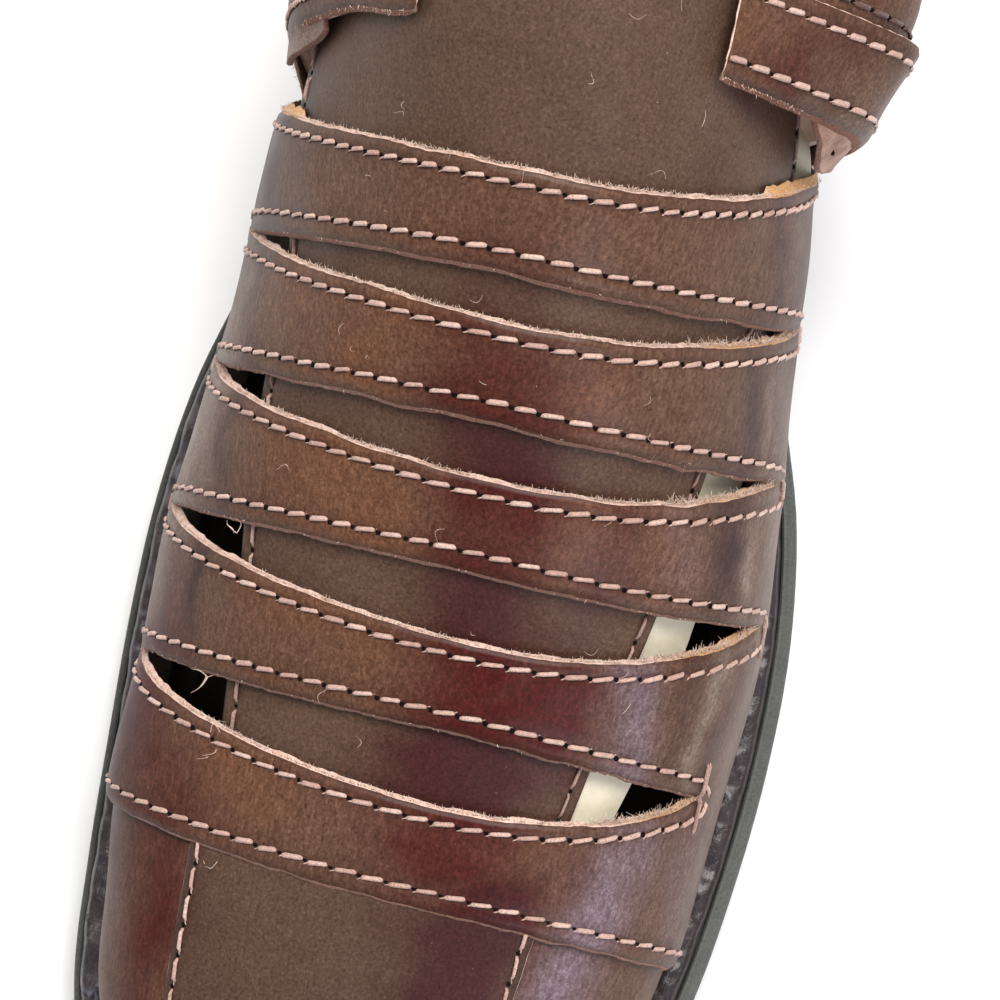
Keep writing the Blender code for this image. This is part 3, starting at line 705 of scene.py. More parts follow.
def glossy_leather():
    p = Paint("strap_leather_finish", 0.42, coat=0.02, coat_rough=0.28, specular=0.16)
    streaks = p.noise(0.9, 3.0, 0.6, 0.6, coords=p.stretched(1.5, 0.42, 1.5))
    fine = p.noise(0.50, 3.0, 0.7)
    cloud = p.noise(16, 3.0, 0.6)
    brown = p.mix(p.span(cloud, 0.3, 0.7), (0.113, 0.060, 0.038), (0.097, 0.048, 0.030))
    colour = p.mix(p.field("amber"), brown, (0.142, 0.060, 0.031))
    colour = p.mix(p.math("MULTIPLY", p.field("wine"), p.span(cloud, 0.2, 0.6, 0.85, 1.0)), colour, (0.057, 0.0048, 0.0040))
    # dark patches: darker tone, and painted shade on the steep side walls
    colour = p.mix(p.field("dark_tone_and_painted_shade"), colour, (0.026, 0.0085, 0.011))
    # painted sheen: lilac-grey highlight patches in the base colour
    colour = p.mix(p.math("MULTIPLY", p.field("painted_sheen"), 0.72), colour, (0.188, 0.138, 0.168))
    # painted highlight: light grey strips on the steep side walls
    colour = p.mix(p.math("MULTIPLY", p.field("painted_highlight"), 0.60), colour, (0.250, 0.195, 0.160))
    # darker along cut edges and stitch lines, and painted shadow under the first strap's edge on the toe wings
    colour = p.mix(p.math("MULTIPLY", p.field("seam_darkening_and_painted_shade"), 0.55), colour, (0.050, 0.018, 0.010))
    colour = p.mix(p.span(streaks, 0.42, 0.70, 0.0, 0.75), colour, (0.52, 0.46, 0.44), "MULTIPLY")
    colour = p.mix(p.span(streaks, 0.30, 0.48, 0.55, 0.0), colour, (1.45, 1.52, 1.55), "MULTIPLY")
    colour = p.mix(p.span(fine, 0.52, 0.70, 0.0, 1.0), colour, (1.48, 1.57, 1.63), "MULTIPLY")
    colour = p.mix(p.span(fine, 0.30, 0.47, 1.0, 0.0), colour, (0.57, 0.52, 0.50), "MULTIPLY")
    colour = p.mix(p.span(p.cells(4.2), 0.0, 0.035, 0.4, 0.0), colour, (0.30, 0.20, 0.16))
    rough = p.span(p.noise(9, 3.0), 0.3, 0.7, 0.38, 0.48)
    normal = p.bump(fine, 0.045, 0.6)
    normal = p.bump(streaks, 0.035, 0.5, normal)
    normal = p.bump(p.noise(3.4, 3.0, 0.6, 0.4), 0.06, 0.25, normal)
    return p.finish(colour, rough, normal)


def dull_leather():
    p = Paint("panel_leather_finish", 0.55, coat=0.0, specular=0.18, sheen=0.0)
    fine = p.noise(0.5, 3.0, 0.7)
    streaks = p.noise(0.8, 3.0, coords=p.stretched(1.6, 0.22, 1.6))
    cloud = p.noise(20, 3.0, 0.6)
    colour = p.mix(p.span(cloud, 0.3, 0.7), (0.101, 0.057, 0.037), (0.082, 0.045, 0.030))
    colour = p.mix(p.math("MULTIPLY", p.field("wine"), 0.97), colour, (0.044, 0.0100, 0.0098))
    # dark patches: darker tone of the panel and tongue, and painted shade where they reach steep walls
    colour = p.mix(p.math("MULTIPLY", p.field("dark_tone_and_painted_shade"), 0.9), colour, (0.024, 0.0125, 0.0105))
    # darker along cut edges and stitch lines, and painted shade in the tongue's creases
    colour = p.mix(p.math("MULTIPLY", p.field("seam_darkening_and_painted_shade"), 0.5), colour, (0.035, 0.020, 0.014))
    colour = p.mix(p.span(streaks, 0.42, 0.70, 0.0, 0.5), colour, (0.62, 0.58, 0.56), "MULTIPLY")
    colour = p.mix(p.span(fine, 0.52, 0.70, 0.0, 1.0), colour, (1.60, 1.68, 1.74), "MULTIPLY")
    colour = p.mix(p.span(fine, 0.30, 0.47, 1.0, 0.0), colour, (0.56, 0.52, 0.50), "MULTIPLY")
    colour = p.mix(p.span(p.cells(3.4), 0.0, 0.040, 0.6, 0.0), colour, (0.36, 0.28, 0.21))
    rough = p.span(p.noise(7, 3.0), 0.3, 0.7, 0.46, 0.58)
    normal = p.bump(fine, 0.04, 0.6)
    normal = p.bump(p.noise(2.6, 4.0, 0.65, 0.6), 0.10, 0.35, normal)
    return p.finish(colour, rough, normal)


def raw_edge(name="raw_edge_finish", light=(0.72, 0.53, 0.45), dark=(0.54, 0.345, 0.27)):
    p = Paint(name, 0.85, specular=0.15, sheen=0.15)
    fibre = p.noise(0.35, 4.0, 0.7)
    colour = p.mix(p.span(p.noise(2.2, 3.0, 0.6), 0.34, 0.66), light, dark)
    colour = p.mix(p.span(fibre, 0.48, 0.72, 0.0, 0.6), colour, (0.86, 0.70, 0.60))
    colour = p.mix(p.span(fibre, 0.30, 0.44, 0.5, 0.0), colour, (0.22, 0.09, 0.05))
    colour = p.mix(p.field("tan"), colour, p.mix(p.span(fibre, 0.36, 0.62), (0.34, 0.15, 0.055), (0.62, 0.36, 0.15)))
    # painted shade: the toeward cut edges, turned away from the light, and the ears' cut edges are painted dark
    # reddish-brown
    colour = p.mix(p.field("painted_edge_shade"), colour, p.mix(p.span(fibre, 0.4, 0.65), (0.12, 0.044, 0.028), (0.29, 0.13, 0.080)))
    return p.finish(colour, None, p.bump(fibre, 0.16, 0.8))


def suede(name="flesh_side_finish", light=(0.58, 0.39, 0.31), dark=(0.40, 0.235, 0.17)):
    p = Paint(name, 0.9, specular=0.12, sheen=0.25)
    nap = p.noise(0.45, 4.0, 0.72)
    colour = p.mix(p.span(p.noise(6, 4.0, 0.62), 0.32, 0.68), light, dark)
    colour = p.mix(p.span(nap, 0.4, 0.75, 0.0, 0.35), colour, (0.62, 0.46, 0.36))
    return p.finish(colour, p.span(nap, 0.3, 0.7, 0.82, 0.96), p.bump(nap, 0.18, 0.7))


def cream_lining():
    p = Paint("cream_lining_finish", 0.75, specular=0.2)
    nap = p.noise(0.5, 4.0, 0.6)
    colour = p.mix(p.span(p.noise(4, 3.0), 0.3, 0.7), (0.74, 0.68, 0.54), (0.64, 0.59, 0.45))
    return p.finish(colour, None, p.bump(nap, 0.10, 0.6))


def thread_finish(name, light, dark):
    p = Paint(name, 0.62, specular=0.3, sheen=0.2)
    twist = p.noise(0.30, 3.0, 0.65)
    colour = p.mix(p.field("tone"), light, dark)
    colour = p.mix(p.span(twist, 0.46, 0.62, 0.0, 0.55), colour, tuple(0.42 * x for x in dark))
    return p.finish(colour, None, p.bump(twist, 0.16, 0.9))


def plain_dark(name, colour, rough=0.9):
    p = Paint(name, rough, specular=0.1)
    grain = p.noise(0.8, 3.0, 0.6)
    return p.finish(p.mix(p.span(grain, 0.3, 0.7), colour, tuple(0.6 * x for x in colour)), None, p.bump(grain, 0.05, 0.5))


def welt_finish():
    p = Paint("welt_leather_finish", 0.30, coat=0.22, coat_rough=0.20, specular=0.45)
    wrinkle = p.noise(1.7, 4.0, 0.6, 1.1, coords=p.stretched(1.0, 0.45, 1.0))
    fine = p.noise(0.5, 3.0, 0.6)
    colour = p.mix(p.span(p.noise(5, 3.0), 0.3, 0.7), (0.036, 0.022, 0.025), (0.018, 0.011, 0.014))
    colour = p.mix(p.span(wrinkle, 0.30, 0.52, 0.6, 0.0), colour, (0.006, 0.003, 0.004))
    colour = p.mix(p.span(fine, 0.58, 0.72, 0.0, 0.35), colour, (0.16, 0.105, 0.105))
    # painted glints: pale blue-white highlight patches on the lateral welt
    shine = p.math("MULTIPLY", p.span(p.noise(9, 2.0), 0.54, 0.62), p.span(wrinkle, 0.46, 0.60))
    colour = p.mix(p.math("MULTIPLY", p.field("glint"), shine), colour, (0.15, 0.16, 0.19))
    normal = p.bump(wrinkle, 0.28, 0.85)
    normal = p.bump(fine, 0.12, 0.7, normal)
    return p.finish(colour, p.span(p.noise(2.4, 3.0), 0.3, 0.7, 0.28, 0.46), normal)


def rubber_finish():
    p = Paint("sole_rubber_finish", 0.6, specular=0.35)
    grain = p.noise(0.45, 4.0, 0.7)
    colour = p.mix(p.span(p.noise(12, 3.0, 0.6), 0.3, 0.7), (0.039, 0.041, 0.038), (0.027, 0.029, 0.027))
    # lighter stripes on the rim, dimmed on the lateral side as painted shade
    colour = p.mix(p.field("rim_stripes_and_side_shade"), colour, (0.090, 0.095, 0.088))
    colour = p.mix(p.span(grain, 0.30, 0.50, 0.45, 0.0), colour, (0.012, 0.014, 0.012))
    colour = p.mix(p.span(grain, 0.52, 0.72, 0.0, 0.42), colour, (0.14, 0.15, 0.13))
    colour = p.mix(p.span(p.cells(2.4), 0.0, 0.06, 0.35, 0.0), colour, (0.24, 0.25, 0.22))
    return p.finish(colour, p.span(p.noise(5, 3.0), 0.3, 0.7, 0.52, 0.70), p.bump(grain, 0.06, 0.6))


def insole_finish():
    p = Paint("insole_leather_finish", 0.6, specular=0.25)
    grain = p.noise(0.9, 4.0, 0.6)
    colour = p.mix(p.span(p.noise(18, 3.0, 0.6), 0.3, 0.7), (0.036, 0.022, 0.016), (0.024, 0.015, 0.011))
    colour = p.mix(p.span(p.cells(1.4), 0.0, 0.12, 0.5, 0.0), colour, (0.012, 0.008, 0.006))
    return p.finish(colour, p.span(grain, 0.3, 0.7, 0.52, 0.68), p.bump(grain, 0.10, 0.6))


def floor_finish():
    p = Paint("floor_finish", 0.65, specular=0.2)
    soft = p.noise(60, 3.0)
    return p.finish(p.mix(p.span(soft, 0.3, 0.7), (0.86, 0.86, 0.86), (0.84, 0.84, 0.84)), None, p.bump(p.noise(2.0, 3.0), 0.02, 0.2))


GLOSSY, DULL, RAW, FLESH = glossy_leather(), dull_leather(), raw_edge(), suede()
CREAM, INSOLE, RUBBER, WELT = cream_lining(), insole_finish(), rubber_finish(), welt_finish()
EAR_FLESH = suede("ear_flesh_finish", (0.52, 0.32, 0.235), (0.20, 0.090, 0.058))
# A dark copy of the flesh side for the lateral ear: painted shade under the sixth strap.
PAINTED_SHADE_FLESH = suede("painted_shade_flesh_finish", (0.14, 0.070, 0.040), (0.055, 0.026, 0.018))
# The straps' flesh side, painted near black: painted shade inside the shoe.
INSIDE_SHADE = suede("inside_painted_shade_finish", (0.085, 0.052, 0.040), (0.050, 0.030, 0.023))
PINK = thread_finish("pink_thread_finish", (0.64, 0.45, 0.375), (0.45, 0.275, 0.225))
DULL_THREAD = thread_finish("dull_thread_finish", (0.46, 0.30, 0.25), (0.30, 0.175, 0.145))
BROWN_THREAD = thread_finish("brown_thread_finish", (0.13, 0.062, 0.052), (0.075, 0.034, 0.030))
# Near-black discs for the needle holes: painted shade inside them.
HOLE_SHADE = plain_dark("needle_hole_shade_finish", (0.006, 0.003, 0.003))
LEATHERS = [GLOSSY, RAW, INSIDE_SHADE]


def keep(piece, slot, *nodes):
    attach(piece, "root")
    if nodes:
        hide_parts(*nodes)
    return piece


# ---------------------------------------------------------------- straps


COLUMNS_V = np.linspace(-1, 1, 281)


def opening(name, v):
    """How far a slit is open at v: sharply inside it, and softly past its ends."""
    width, v_lat, v_med, full = SLITS[name][3:]
    r = np.where(v < 0, v / v_lat, v / v_med)
    sharp = np.clip(width * (1 - np.clip(r, 0, 1) ** full) ** 0.8 / 0.8, 0, 1)
    return sharp, 1 - smooth((r - 1) / 0.12)


def edge_depth(d, sharp, soft, seam):
    """Depth of the grain side at the distance d from a cut edge with a stitch line at the distance seam."""
    return sharp * EDGE_ROUND * np.exp(-((d / 0.45) ** 2)) + soft * (DROOP * np.exp(-d / 2.6) + TROUGH * np.exp(-(((d - seam) / 0.62) ** 2)) * sharp)


def ragged(u, v, sharp, seed):
    """A cut edge's small irregularities."""
    points = np.stack([v * 60, u, np.zeros_like(u)], -1)
    return u + sharp * (0.045 * ripple(points, 2.2, seed) + 0.12 * ripple(points, 9.0, seed + 1))


def strap(shell, v, low, high, low_open, high_open, lift=0.0, thin=1.7, front=None, bevels=(BEVEL_LOW, BEVEL_HIGH), tan=0.0, painted_edge_shade=0.9, proud=0.0, seed=1):
    """A strap between its toeward and heelward edges, from column to column."""
    steps = np.array(EDGE_STEPS)[:, None]
    one, two = low[None] - steps, high[None] + steps[::-1]
    middle = [one[-1] + (two[0] - one[-1]) * k / 5 for k in (1, 2, 3, 4)]
    u = np.concatenate([one, np.array(middle), two])
    d_low, d_high = low[None] - u, u - high[None]
    depth = edge_depth(d_low, *low_open, IN_LOW) + edge_depth(d_high, *high_open, IN_HIGH)
    depth[0] = edge_depth(np.zeros_like(v), *low_open, IN_LOW)
    depth[-1] = edge_depth(np.zeros_like(v), *high_open, IN_HIGH)
    wide = np.broadcast_to(v, u.shape)
    raised = lift * np.exp(-((d_low / 7.5) ** 2)) * (0.35 + 0.65 * smooth((0.98 - np.abs(wide)) / 0.25))
    body = thin - 0.55 * raised
    if front is not None:
        d_front = np.abs(np.abs(wide) - front) * 78
        depth = depth + 0.25 * np.exp(-((d_front / 0.45) ** 2)) + 0.12 * np.exp(-d_front / 3)
        body = body * (0.42 + 0.58 * smooth(d_front / 1.6))
    base = skin(u, wide, 0.0)
    flat = uneven(base) - 0.22 - raised - proud
    to_low, to_high = np.where(low_open[0] > 0.5, d_low, 99), np.where(high_open[0] > 0.5, d_high, 99)
    near = np.minimum(to_low, to_high)
    fields = burnish(u, wide, base)
    # darker along the stitch lines and cut edges
    fields["seam_darkening_and_painted_shade"] = np.exp(-(((to_low - IN_LOW) / 0.8) ** 2)) * 0.8 + np.exp(-(((to_high - IN_HIGH) / 0.8) ** 2)) * 0.8 + np.exp(-((near / 0.5) ** 2)) * 0.9
    at_low, at_high = low_open[0] * np.exp(-((d_low / 1.0) ** 2)), high_open[0] * np.exp(-((d_high / 1.0) ** 2))
    wave = 1 + 0.08 * ripple(base, 2.2, 200 + seed) + 0.16 * ripple(base, 7.0, 201 + seed)
    wider = 1 + (1.7 if tan > 0.95 else 0.5 * tan) * smooth((np.abs(wide) - 0.605) / 0.012)
    slanted = at_low * bevels[0] * wave - at_high * bevels[1] * wave * wider
    fields["tan"] = np.clip(tan * smooth(((np.abs(wide) - 0.60) / 0.02) if tan > 0.95 else (wide - 0.42) / 0.10) * at_high + 0.35 * at_low * smooth(ripple(base, 16, 9)), 0, 1)
    # painted shade on the toeward cut edge
    fields["painted_edge_shade"] = painted_edge_shade * at_low
    shell.block(skin(u, wide, flat + depth), skin(u + slanted, wide, flat + 0.35 * depth + body), fields)


def make_straps():
    v = COLUMNS_V
    always = (np.ones_like(v), np.ones_like(v))
    shell = Shell()
    low, low_open = ragged(strap_a_low(v), v, 1.0, 40), always
    names = list(SLITS)
    for k, name in enumerate(names):
        opened = opening(name, v)
        high = ragged(slit(name, v, 1), v, opened[0], 50 + 4 * k)
        tan = (0.8, 0.9, 0.6, 0.8, 1.0)[k]
        strap(shell, v, low, high, low_open, opened, lift=0.5 if k == 0 else 0.0, thin=1.25 if k == 0 else 1.6, tan=tan, seed=3 * k)
        low, low_open = ragged(slit(name, v, -1), v, opened[0], 52 + 4 * k), opened
    # the sixth strap, in two halves that stop beside the throat
    for side, corner in ((-1, COLLAR[-1][1]), (1, COLLAR[-1][2])):
        kept = v[v * side > corner + 0.03]
        start = side * (corner + np.array([0.0, 0.003, 0.008, 0.016, 0.024]))
        cols = np.concatenate([start, kept]) if side > 0 else np.concatenate([kept, start[::-1]])
        opened = opening("e_f", cols)
        low = ragged(strap_f_low(cols), cols, opened[0], 52 + 4 * (len(names) - 1))
        high = ragged(slit("e_f", cols, -1) - STRAP_F_WIDE, cols, 0.6, 90)
        strap(shell, cols, low, high, opened, (np.ones_like(cols), np.ones_like(cols)), thin=1.15, front=corner, bevels=(0.42, 0.12), painted_edge_shade=1.0, proud=strap_f_proud(cols), seed=40)
    return keep(shell.build("strap_wall", LEATHERS), "strap_leather", "upper")


make_straps()


# ---------------------------------------------------------------- toe


def toe_shares():
    tip = 1 - np.cos(np.linspace(0, 1, 34) ** 1.15 * math.pi / 2)
    return np.concatenate([tip, np.linspace(1, 1.11, 7)[1:]])


def edge_of_panel(shares, side):
    """v of the toe panel's edge for each share; 1 where the panel reaches the feather line."""
    fine = np.linspace(0, 1, 500)
    found = []
    for share in shares:
        points = toe_skin(share, fine * side, 0.5)
        u = LENGTH / 2 - points[:, 1]
        target = column(PANEL, 1 if side < 0 else 2)(u)
        miss = (points[:, 0] - target) * side
        over = np.nonzero(miss > 0)[0]
        found.append(fine[over[0]] if len(over) else 1.0)
    return np.array(found)


def make_toe():
    shares = toe_shares()
    v = COLUMNS_V
    share, wide = np.meshgrid(shares, v, indexing="ij")
    base = toe_skin(share, wide, 0.0)
    u = LENGTH / 2 - base[..., 1]
    wave = uneven(base) * np.clip(share * 4, 0, 1)
    shell = Shell()
    fields = burnish(u, wide, base)
    # painted shadow on the toe wings along the first strap's lower edge
    fields["seam_darkening_and_painted_shade"] = np.exp(-(((share - 1) * 68 / 1.6) ** 2)) * 0.8
    shell.block(toe_skin(share, wide, 1.05 + wave), toe_skin(share, wide, 2.55 + wave), fields)
    keep(shell.build("toe_wings", LEATHERS, seed=2), "strap_leather")

    lat, med = edge_of_panel(shares, -1), edge_of_panel(shares, 1)
    lat, med = np.minimum.accumulate(lat), np.minimum.accumulate(med)
    lat[0] = med[0] = 1.0
    steps = np.array([0, 0.25, 0.7, 1.3, 2.0, 2.6, 3.1, 3.7, 4.6, 6.0])
    rows = []
    for k in range(len(shares)):
        reach = lat[k] + med[k]
        length = 66 * reach * 0.95
        near = np.minimum(steps / max(length, 1e-6), 0.24 * np.arange(len(steps)) / (len(steps) - 1) * 2 if length < 40 else 1.0)
        cross = np.concatenate([near, near[-1] + (1 - 2 * near[-1]) * np.linspace(0, 1, 42)[1:-1], 1 - near[::-1]])
        rows.append(-lat[k] + reach * cross)
    wide = np.array(rows)
    share = np.broadcast_to(shares[:, None], wide.shape)
    base = toe_skin(share, wide, 0.0)
    u = LENGTH / 2 - base[..., 1]
    cut_lat, cut_med = (lat < 0.999)[:, None], (med < 0.999)[:, None]
    d_lat, d_med = (wide + lat[:, None]) * 63, (med[:, None] - wide) * 63
    depth = np.zeros(wide.shape)
    seam_darkening_and_painted_shade = np.zeros(wide.shape)
    for d, cut in ((d_lat, cut_lat), (d_med, cut_med)):
        depth += cut * (0.30 * np.exp(-((d / 0.4) ** 2)) + 0.12 * np.exp(-d / 3) + 0.12 * np.exp(-(((d - PANEL_STITCH) / 0.6) ** 2)))
        seam_darkening_and_painted_shade += cut * (np.exp(-((d / 0.6) ** 2)) + 0.7 * np.exp(-(((d - PANEL_STITCH) / 0.8) ** 2)))
    wave = uneven(base) * np.clip(share * 4, 0, 1)
    fields = burnish(u, wide, base)
    fields["seam_darkening_and_painted_shade"] = np.clip(seam_darkening_and_painted_shade, 0, 1)
    shell = Shell()
    shell.block(toe_skin(share, wide, 0.42 + wave + depth), toe_skin(share, wide, 1.12 + wave), fields)
    keep(shell.build("toe_panel", [DULL, RAW, FLESH], seed=3), "panel_leather")
    return shares, lat, med


TOE_SHARES, PANEL_LAT, PANEL_MED = make_toe()


# ---------------------------------------------------------------- tongue and lining


# Creases: u and v at one end, at the other end, width, depth
CREASES = (
    (101, -0.30, 96, 0.30, 1.6, 0.35), (106, -0.22, 104, 0.34, 1.1, 0.25), (110, -0.10, 112, 0.26, 1.0, 0.2),
    (98, -0.45, 103, -0.10, 1.3, 0.3), (92, -0.2, 91, 0.3, 1.8, 0.4), (115, -0.35, 118, 0.05, 0.9, 0.18),
)


def creased(u, v):
    total = np.zeros(np.shape(u))
    for u0, v0, u1, v1, wide, deep in CREASES:
        t = (v - v0) / (v1 - v0)
        centre = u0 + (u1 - u0) * t + 0.9 * np.sin(9 * t)
        total += deep * np.exp(-(((u - centre) / wide) ** 2)) * smooth(t * 4) * smooth((1 - t) * 4)
    return total


def make_tongue():
    us = np.concatenate([[86, 86.3, 86.9, 87.8, 89], np.linspace(90.5, 232, 130)])
    lat, med = column(TONGUE, 1)(us), column(TONGUE, 2)(us)
    u = us[::-1, None] * np.ones((1, 86))
    steps = np.array([0, 0.25, 0.7, 1.3, 2.0, 2.6, 3.1, 3.7, 4.6, 6.0])
    rows = []
    for a, b in zip(lat[::-1], med[::-1]):
        length = 72 * (a + b)
        near = steps / length
        cross = np.concatenate([near, near[-1] + (1 - 2 * near[-1]) * np.linspace(0, 1, 68)[1:-1], 1 - near[::-1]])
        rows.append(-a + (a + b) * cross)
    v = np.array(rows)
    base = skin(u, v, 0.0, 0.0)
    d = np.minimum((v + lat[::-1, None]) * 72, (med[::-1, None] - v) * 72)
    depth = 0.45 * np.exp(-((d / 0.45) ** 2)) + 0.2 * np.exp(-d / 3) + 0.2 * np.exp(-(((d - 2.6) / 0.6) ** 2))
    top = 0.5 * np.exp(-(((u - 86) / 0.7) ** 2)) + 0.25 * np.exp(-(((u - 89) / 0.9) ** 2))
    depth = depth + top + creased(u, v)
    outer = 2.15 + uneven(base) + depth
    fields = burnish(u, v, base)
    # darker at the tongue's edge and stitch line, and painted shade in its creases
    fields["seam_darkening_and_painted_shade"] = np.clip(np.exp(-((d / 0.6) ** 2)) + 0.7 * np.exp(-(((d - 2.6) / 0.8) ** 2)) + creased(u, v), 0, 1)
    shell = Shell()
    shell.block(skin(u, v, outer, 0.0), skin(u, v, 3.45 + uneven(base), 0.0), fields)
    keep(shell.build("tongue_look", [DULL, RAW, FLESH], seed=4), "panel_leather", "tongue")

    us = np.linspace(232, 87.5, 110)
    lat = column(TONGUE, 1)(us) + column(LINING, 1)(us) / 72
    med = column(TONGUE, 2)(us) + column(LINING, 2)(us) / 72
    u = us[:, None] * np.ones((1, 60))
    v = -lat[:, None] + (lat + med)[:, None] * np.linspace(0, 1, 60)[None]
    base = skin(u, v, 0.0, 0.0)
    wave = uneven(base) + 0.25 * ripple(base, 12, 31) * smooth((v - (med - 0.12)[:, None]) / 0.1)
    shell = Shell()
    near = smooth((130 - u) / 8) * smooth((u - 104) / 5) * smooth((v - (column(TONGUE, 2)(us) - 0.03)[:, None]) / 0.03)
    wave = wave - 2.9 * near
    shell.block(skin(u, v, 3.6 + wave, 0.0), skin(u, v, 4.3 + wave, 0.0), {"seam_darkening_and_painted_shade": 0.0 * u})
    keep(shell.build("tongue_lining", [CREAM, CREAM, CREAM], seed=5, fuzz=0.05), "insole_leather")


make_tongue()


# ---------------------------------------------------------------- quarter


QUARTER_DEPTH, QUARTER_THICK = 1.2, 1.5


def quarter_grid(depth_of):
    """Grain-side points of the quarter, columns from the lateral front round the heel to the medial front."""
    straight, back = 52, 64
    total = 2 * straight + back
    steps = np.concatenate([np.linspace(0, 0.82, 40), 0.82 + 0.18 * np.linspace(0, 1, 22)[1:]])
    points, us, vs = [], [], []
    for k in range(total + 1):
        if straight <= k <= total - straight:
            turn = 180 * (k - straight) / back
            top = float(column(COLLAR_HEEL, 1)(turn))
            height = 1 - (1 - top) * steps
            depth = depth_of(steps, height, 99.0)
            points.append(between(heel(turn, height, 0.0), heel(turn, height, 2.0), depth))
            us.append(HEEL_CENTRE_U - 36 * math.sin(math.radians(turn)) + 0 * height)
            vs.append(height * (-1 if turn < 90 else 1))
        else:
            side = -1 if k < straight else 1
            part = (k if side < 0 else total - k) / straight
            corner = COLLAR[-1][1] if side < 0 else COLLAR[-1][2]
            front = slit("e_f", side * (1 - (1 - corner) * steps), -1) - 2.2
            u = front + (HEEL_CENTRE_U - front) * part
            top = column(COLLAR, 1 if side < 0 else 2)(u[-1]) + 0.03 * float(smooth((u[-1] - 93) / 6))
            height = side * (1 - (1 - top) * steps)
            depth = depth_of(steps, height, 0.0)
            points.append(skin(u, height, depth))
            us.append(u)
            vs.append(height)
    return np.array(points).transpose(1, 0, 2), np.array(us).T, np.array(vs).T, steps


def make_quarter():
    def grain(steps, height, _):
        d = (1 - steps) * np.abs(1 - np.abs(height[-1])) * 100
        return QUARTER_DEPTH + 0.55 * np.exp(-((d / 0.6) ** 2)) + 0.2 * np.exp(-(((d - 3.2) / 0.8) ** 2)) - 0.25 * np.exp(-(((d - 1.6) / 0.9) ** 2))

    def flesh(steps, height, _):
        d = (1 - steps) * np.abs(1 - np.abs(height[-1])) * 100
        return QUARTER_DEPTH + QUARTER_THICK - 0.3 * np.exp(-((d / 0.8) ** 2))

    def plain(steps, height, _):
        return 0.0 * steps

    outer, u, v, steps = quarter_grid(grain)
    inner = quarter_grid(flesh)[0]
    surface = quarter_grid(plain)[0]
    normal = unit(surface - inner)
    wave = uneven(surface)
    fields = burnish(u, v, surface)
    d = (1 - steps)[:, None] * np.abs(1 - np.abs(v[-1]))[None] * 100
    fields["seam_darkening_and_painted_shade"] = np.clip(np.exp(-((d / 0.7) ** 2)) + 0.6 * np.exp(-(((d - 3.2) / 0.9) ** 2)), 0, 1)
    shell = Shell()
    shell.block(outer - normal * wave[..., None], inner - normal * wave[..., None], fields)
    keep(shell.build("quarter_look", [GLOSSY, RAW, FLESH], seed=6, fuzz=0.05), "strap_leather")
    row = int(np.abs((1 - steps) - 0.085).argmin())
    return outer[row] - normal[row] * wave[row][:, None], normal[row]


COLLAR_LINE = make_quarter()


def make_ears():
    """Rounded ends of the quarter's backing that show below the sixth strap, one on each side; the lateral one's flesh
    side is painted dark as shade.
    """
    for name, v0, v1, start, reach, material, seed in (("medial_ear", 0.612, 0.815, 105.5, 5.3, EAR_FLESH, 7), ("lateral_ear", -0.585, -0.785, 107.0, 1.8, PAINTED_SHADE_FLESH, 8)):
        share = np.linspace(0, 1, 40)
        v = v0 + (v1 - v0) * share
        low = slit("e_f", v, -1) - 0.4 + reach * np.sin(math.pi * np.clip(share, 0.0001, 0.9999) ** (1.55 if v0 > 0 else 1.0)) ** 0.65
        t = np.linspace(0, 1, 22)[:, None]
        u = start + (low[None] - start) * t
        wide = np.broadcast_to(v, u.shape)
        base = skin(u, wide, 0.0)
        curl = 0.45 * np.sin(math.pi * t) * np.sin(math.pi * share)[None] + 0.12 * ripple(base, 5, 90 + seed)
        shell = Shell()
        curl = curl - 1.5 * smooth((np.abs(wide) - 0.605) / 0.08)
        # the ears' cut edges take the same dark reddish-brown as the shaded toeward edges
        shell.block(skin(u, wide, 1.15 + curl), skin(u, wide, 2.1 + curl), {"painted_edge_shade": 0.9 + 0 * u})
        keep(shell.build(name, [material, RAW, material], seed=seed, fuzz=0.12), "strap_leather")


make_ears()


# ---------------------------------------------------------------- stitching


def on_upper(u, v, depth, slack=1.0):
    """A seam on the upper along arrays of u and v."""
    base = skin(u, v, 0.0, slack)
    wave = uneven(base)
    return Seam(skin(u, v, depth + wave, slack), skin(u, v, -1.0, slack) - skin(u, v, 1.0, slack))


def round_slit(name, count=260):
    """The line at a fixed distance round a slit, as u and v."""
    v_lat, v_med = SLITS[name][4], SEAM_END.get(name, SLITS[name][5])
    share = (1 - np.cos(np.linspace(0, math.pi, count))) / 2
    v = v_lat + (v_med - v_lat) * share
    fine = np.linspace(-0.99, 0.99, 700)
    middle = (slit(name, fine, 1, True) + slit(name, fine, -1, True)) / 2
    line = skin(middle, fine, 0.0)
    across = np.concatenate([[0], np.cumsum(np.linalg.norm(np.diff(line, axis=0), axis=1))])
    s = np.interp(v, fine, across)
    loop = np.concatenate([np.stack([s, -slit(name, v, 1, True)], 1), np.stack([s, -slit(name, v, -1, True)], 1)[::-1]])
    step = np.roll(loop, -1, 0) - np.roll(loop, 1, 0)
    away = unit(np.stack([step[:, 1], -step[:, 0]], 1))
    inner = smooth(np.minimum(share, 1 - share) / 0.10)
    apart = np.concatenate([IN_END + (IN_HIGH - IN_END) * inner, (IN_END + (IN_LOW - IN_END) * inner)[::-1]])
    made = loop + away * apart[:, None]
    # round the two ends with arcs
    points = []
    for k in range(len(made)):
        points.append(made[k])
        after = (k + 1) % len(made)
        turn = math.atan2(away[k][0] * away[after][1] - away[k][1] * away[after][0], float(away[k] @ away[after]))
        if abs(turn) > 0.3:
            for part in np.linspace(0, 1, 9)[1:-1]:
                c, q = math.cos(turn * part), math.sin(turn * part)
                way = np.array([away[k][0] * c - away[k][1] * q, away[k][0] * q + away[k][1] * c])
                points.append(loop[k] * (1 - part) + loop[after] * part + way * IN_END)
    points = np.array(points + points[:1])
    return -points[:, 1], np.interp(points[:, 0], across, fine)


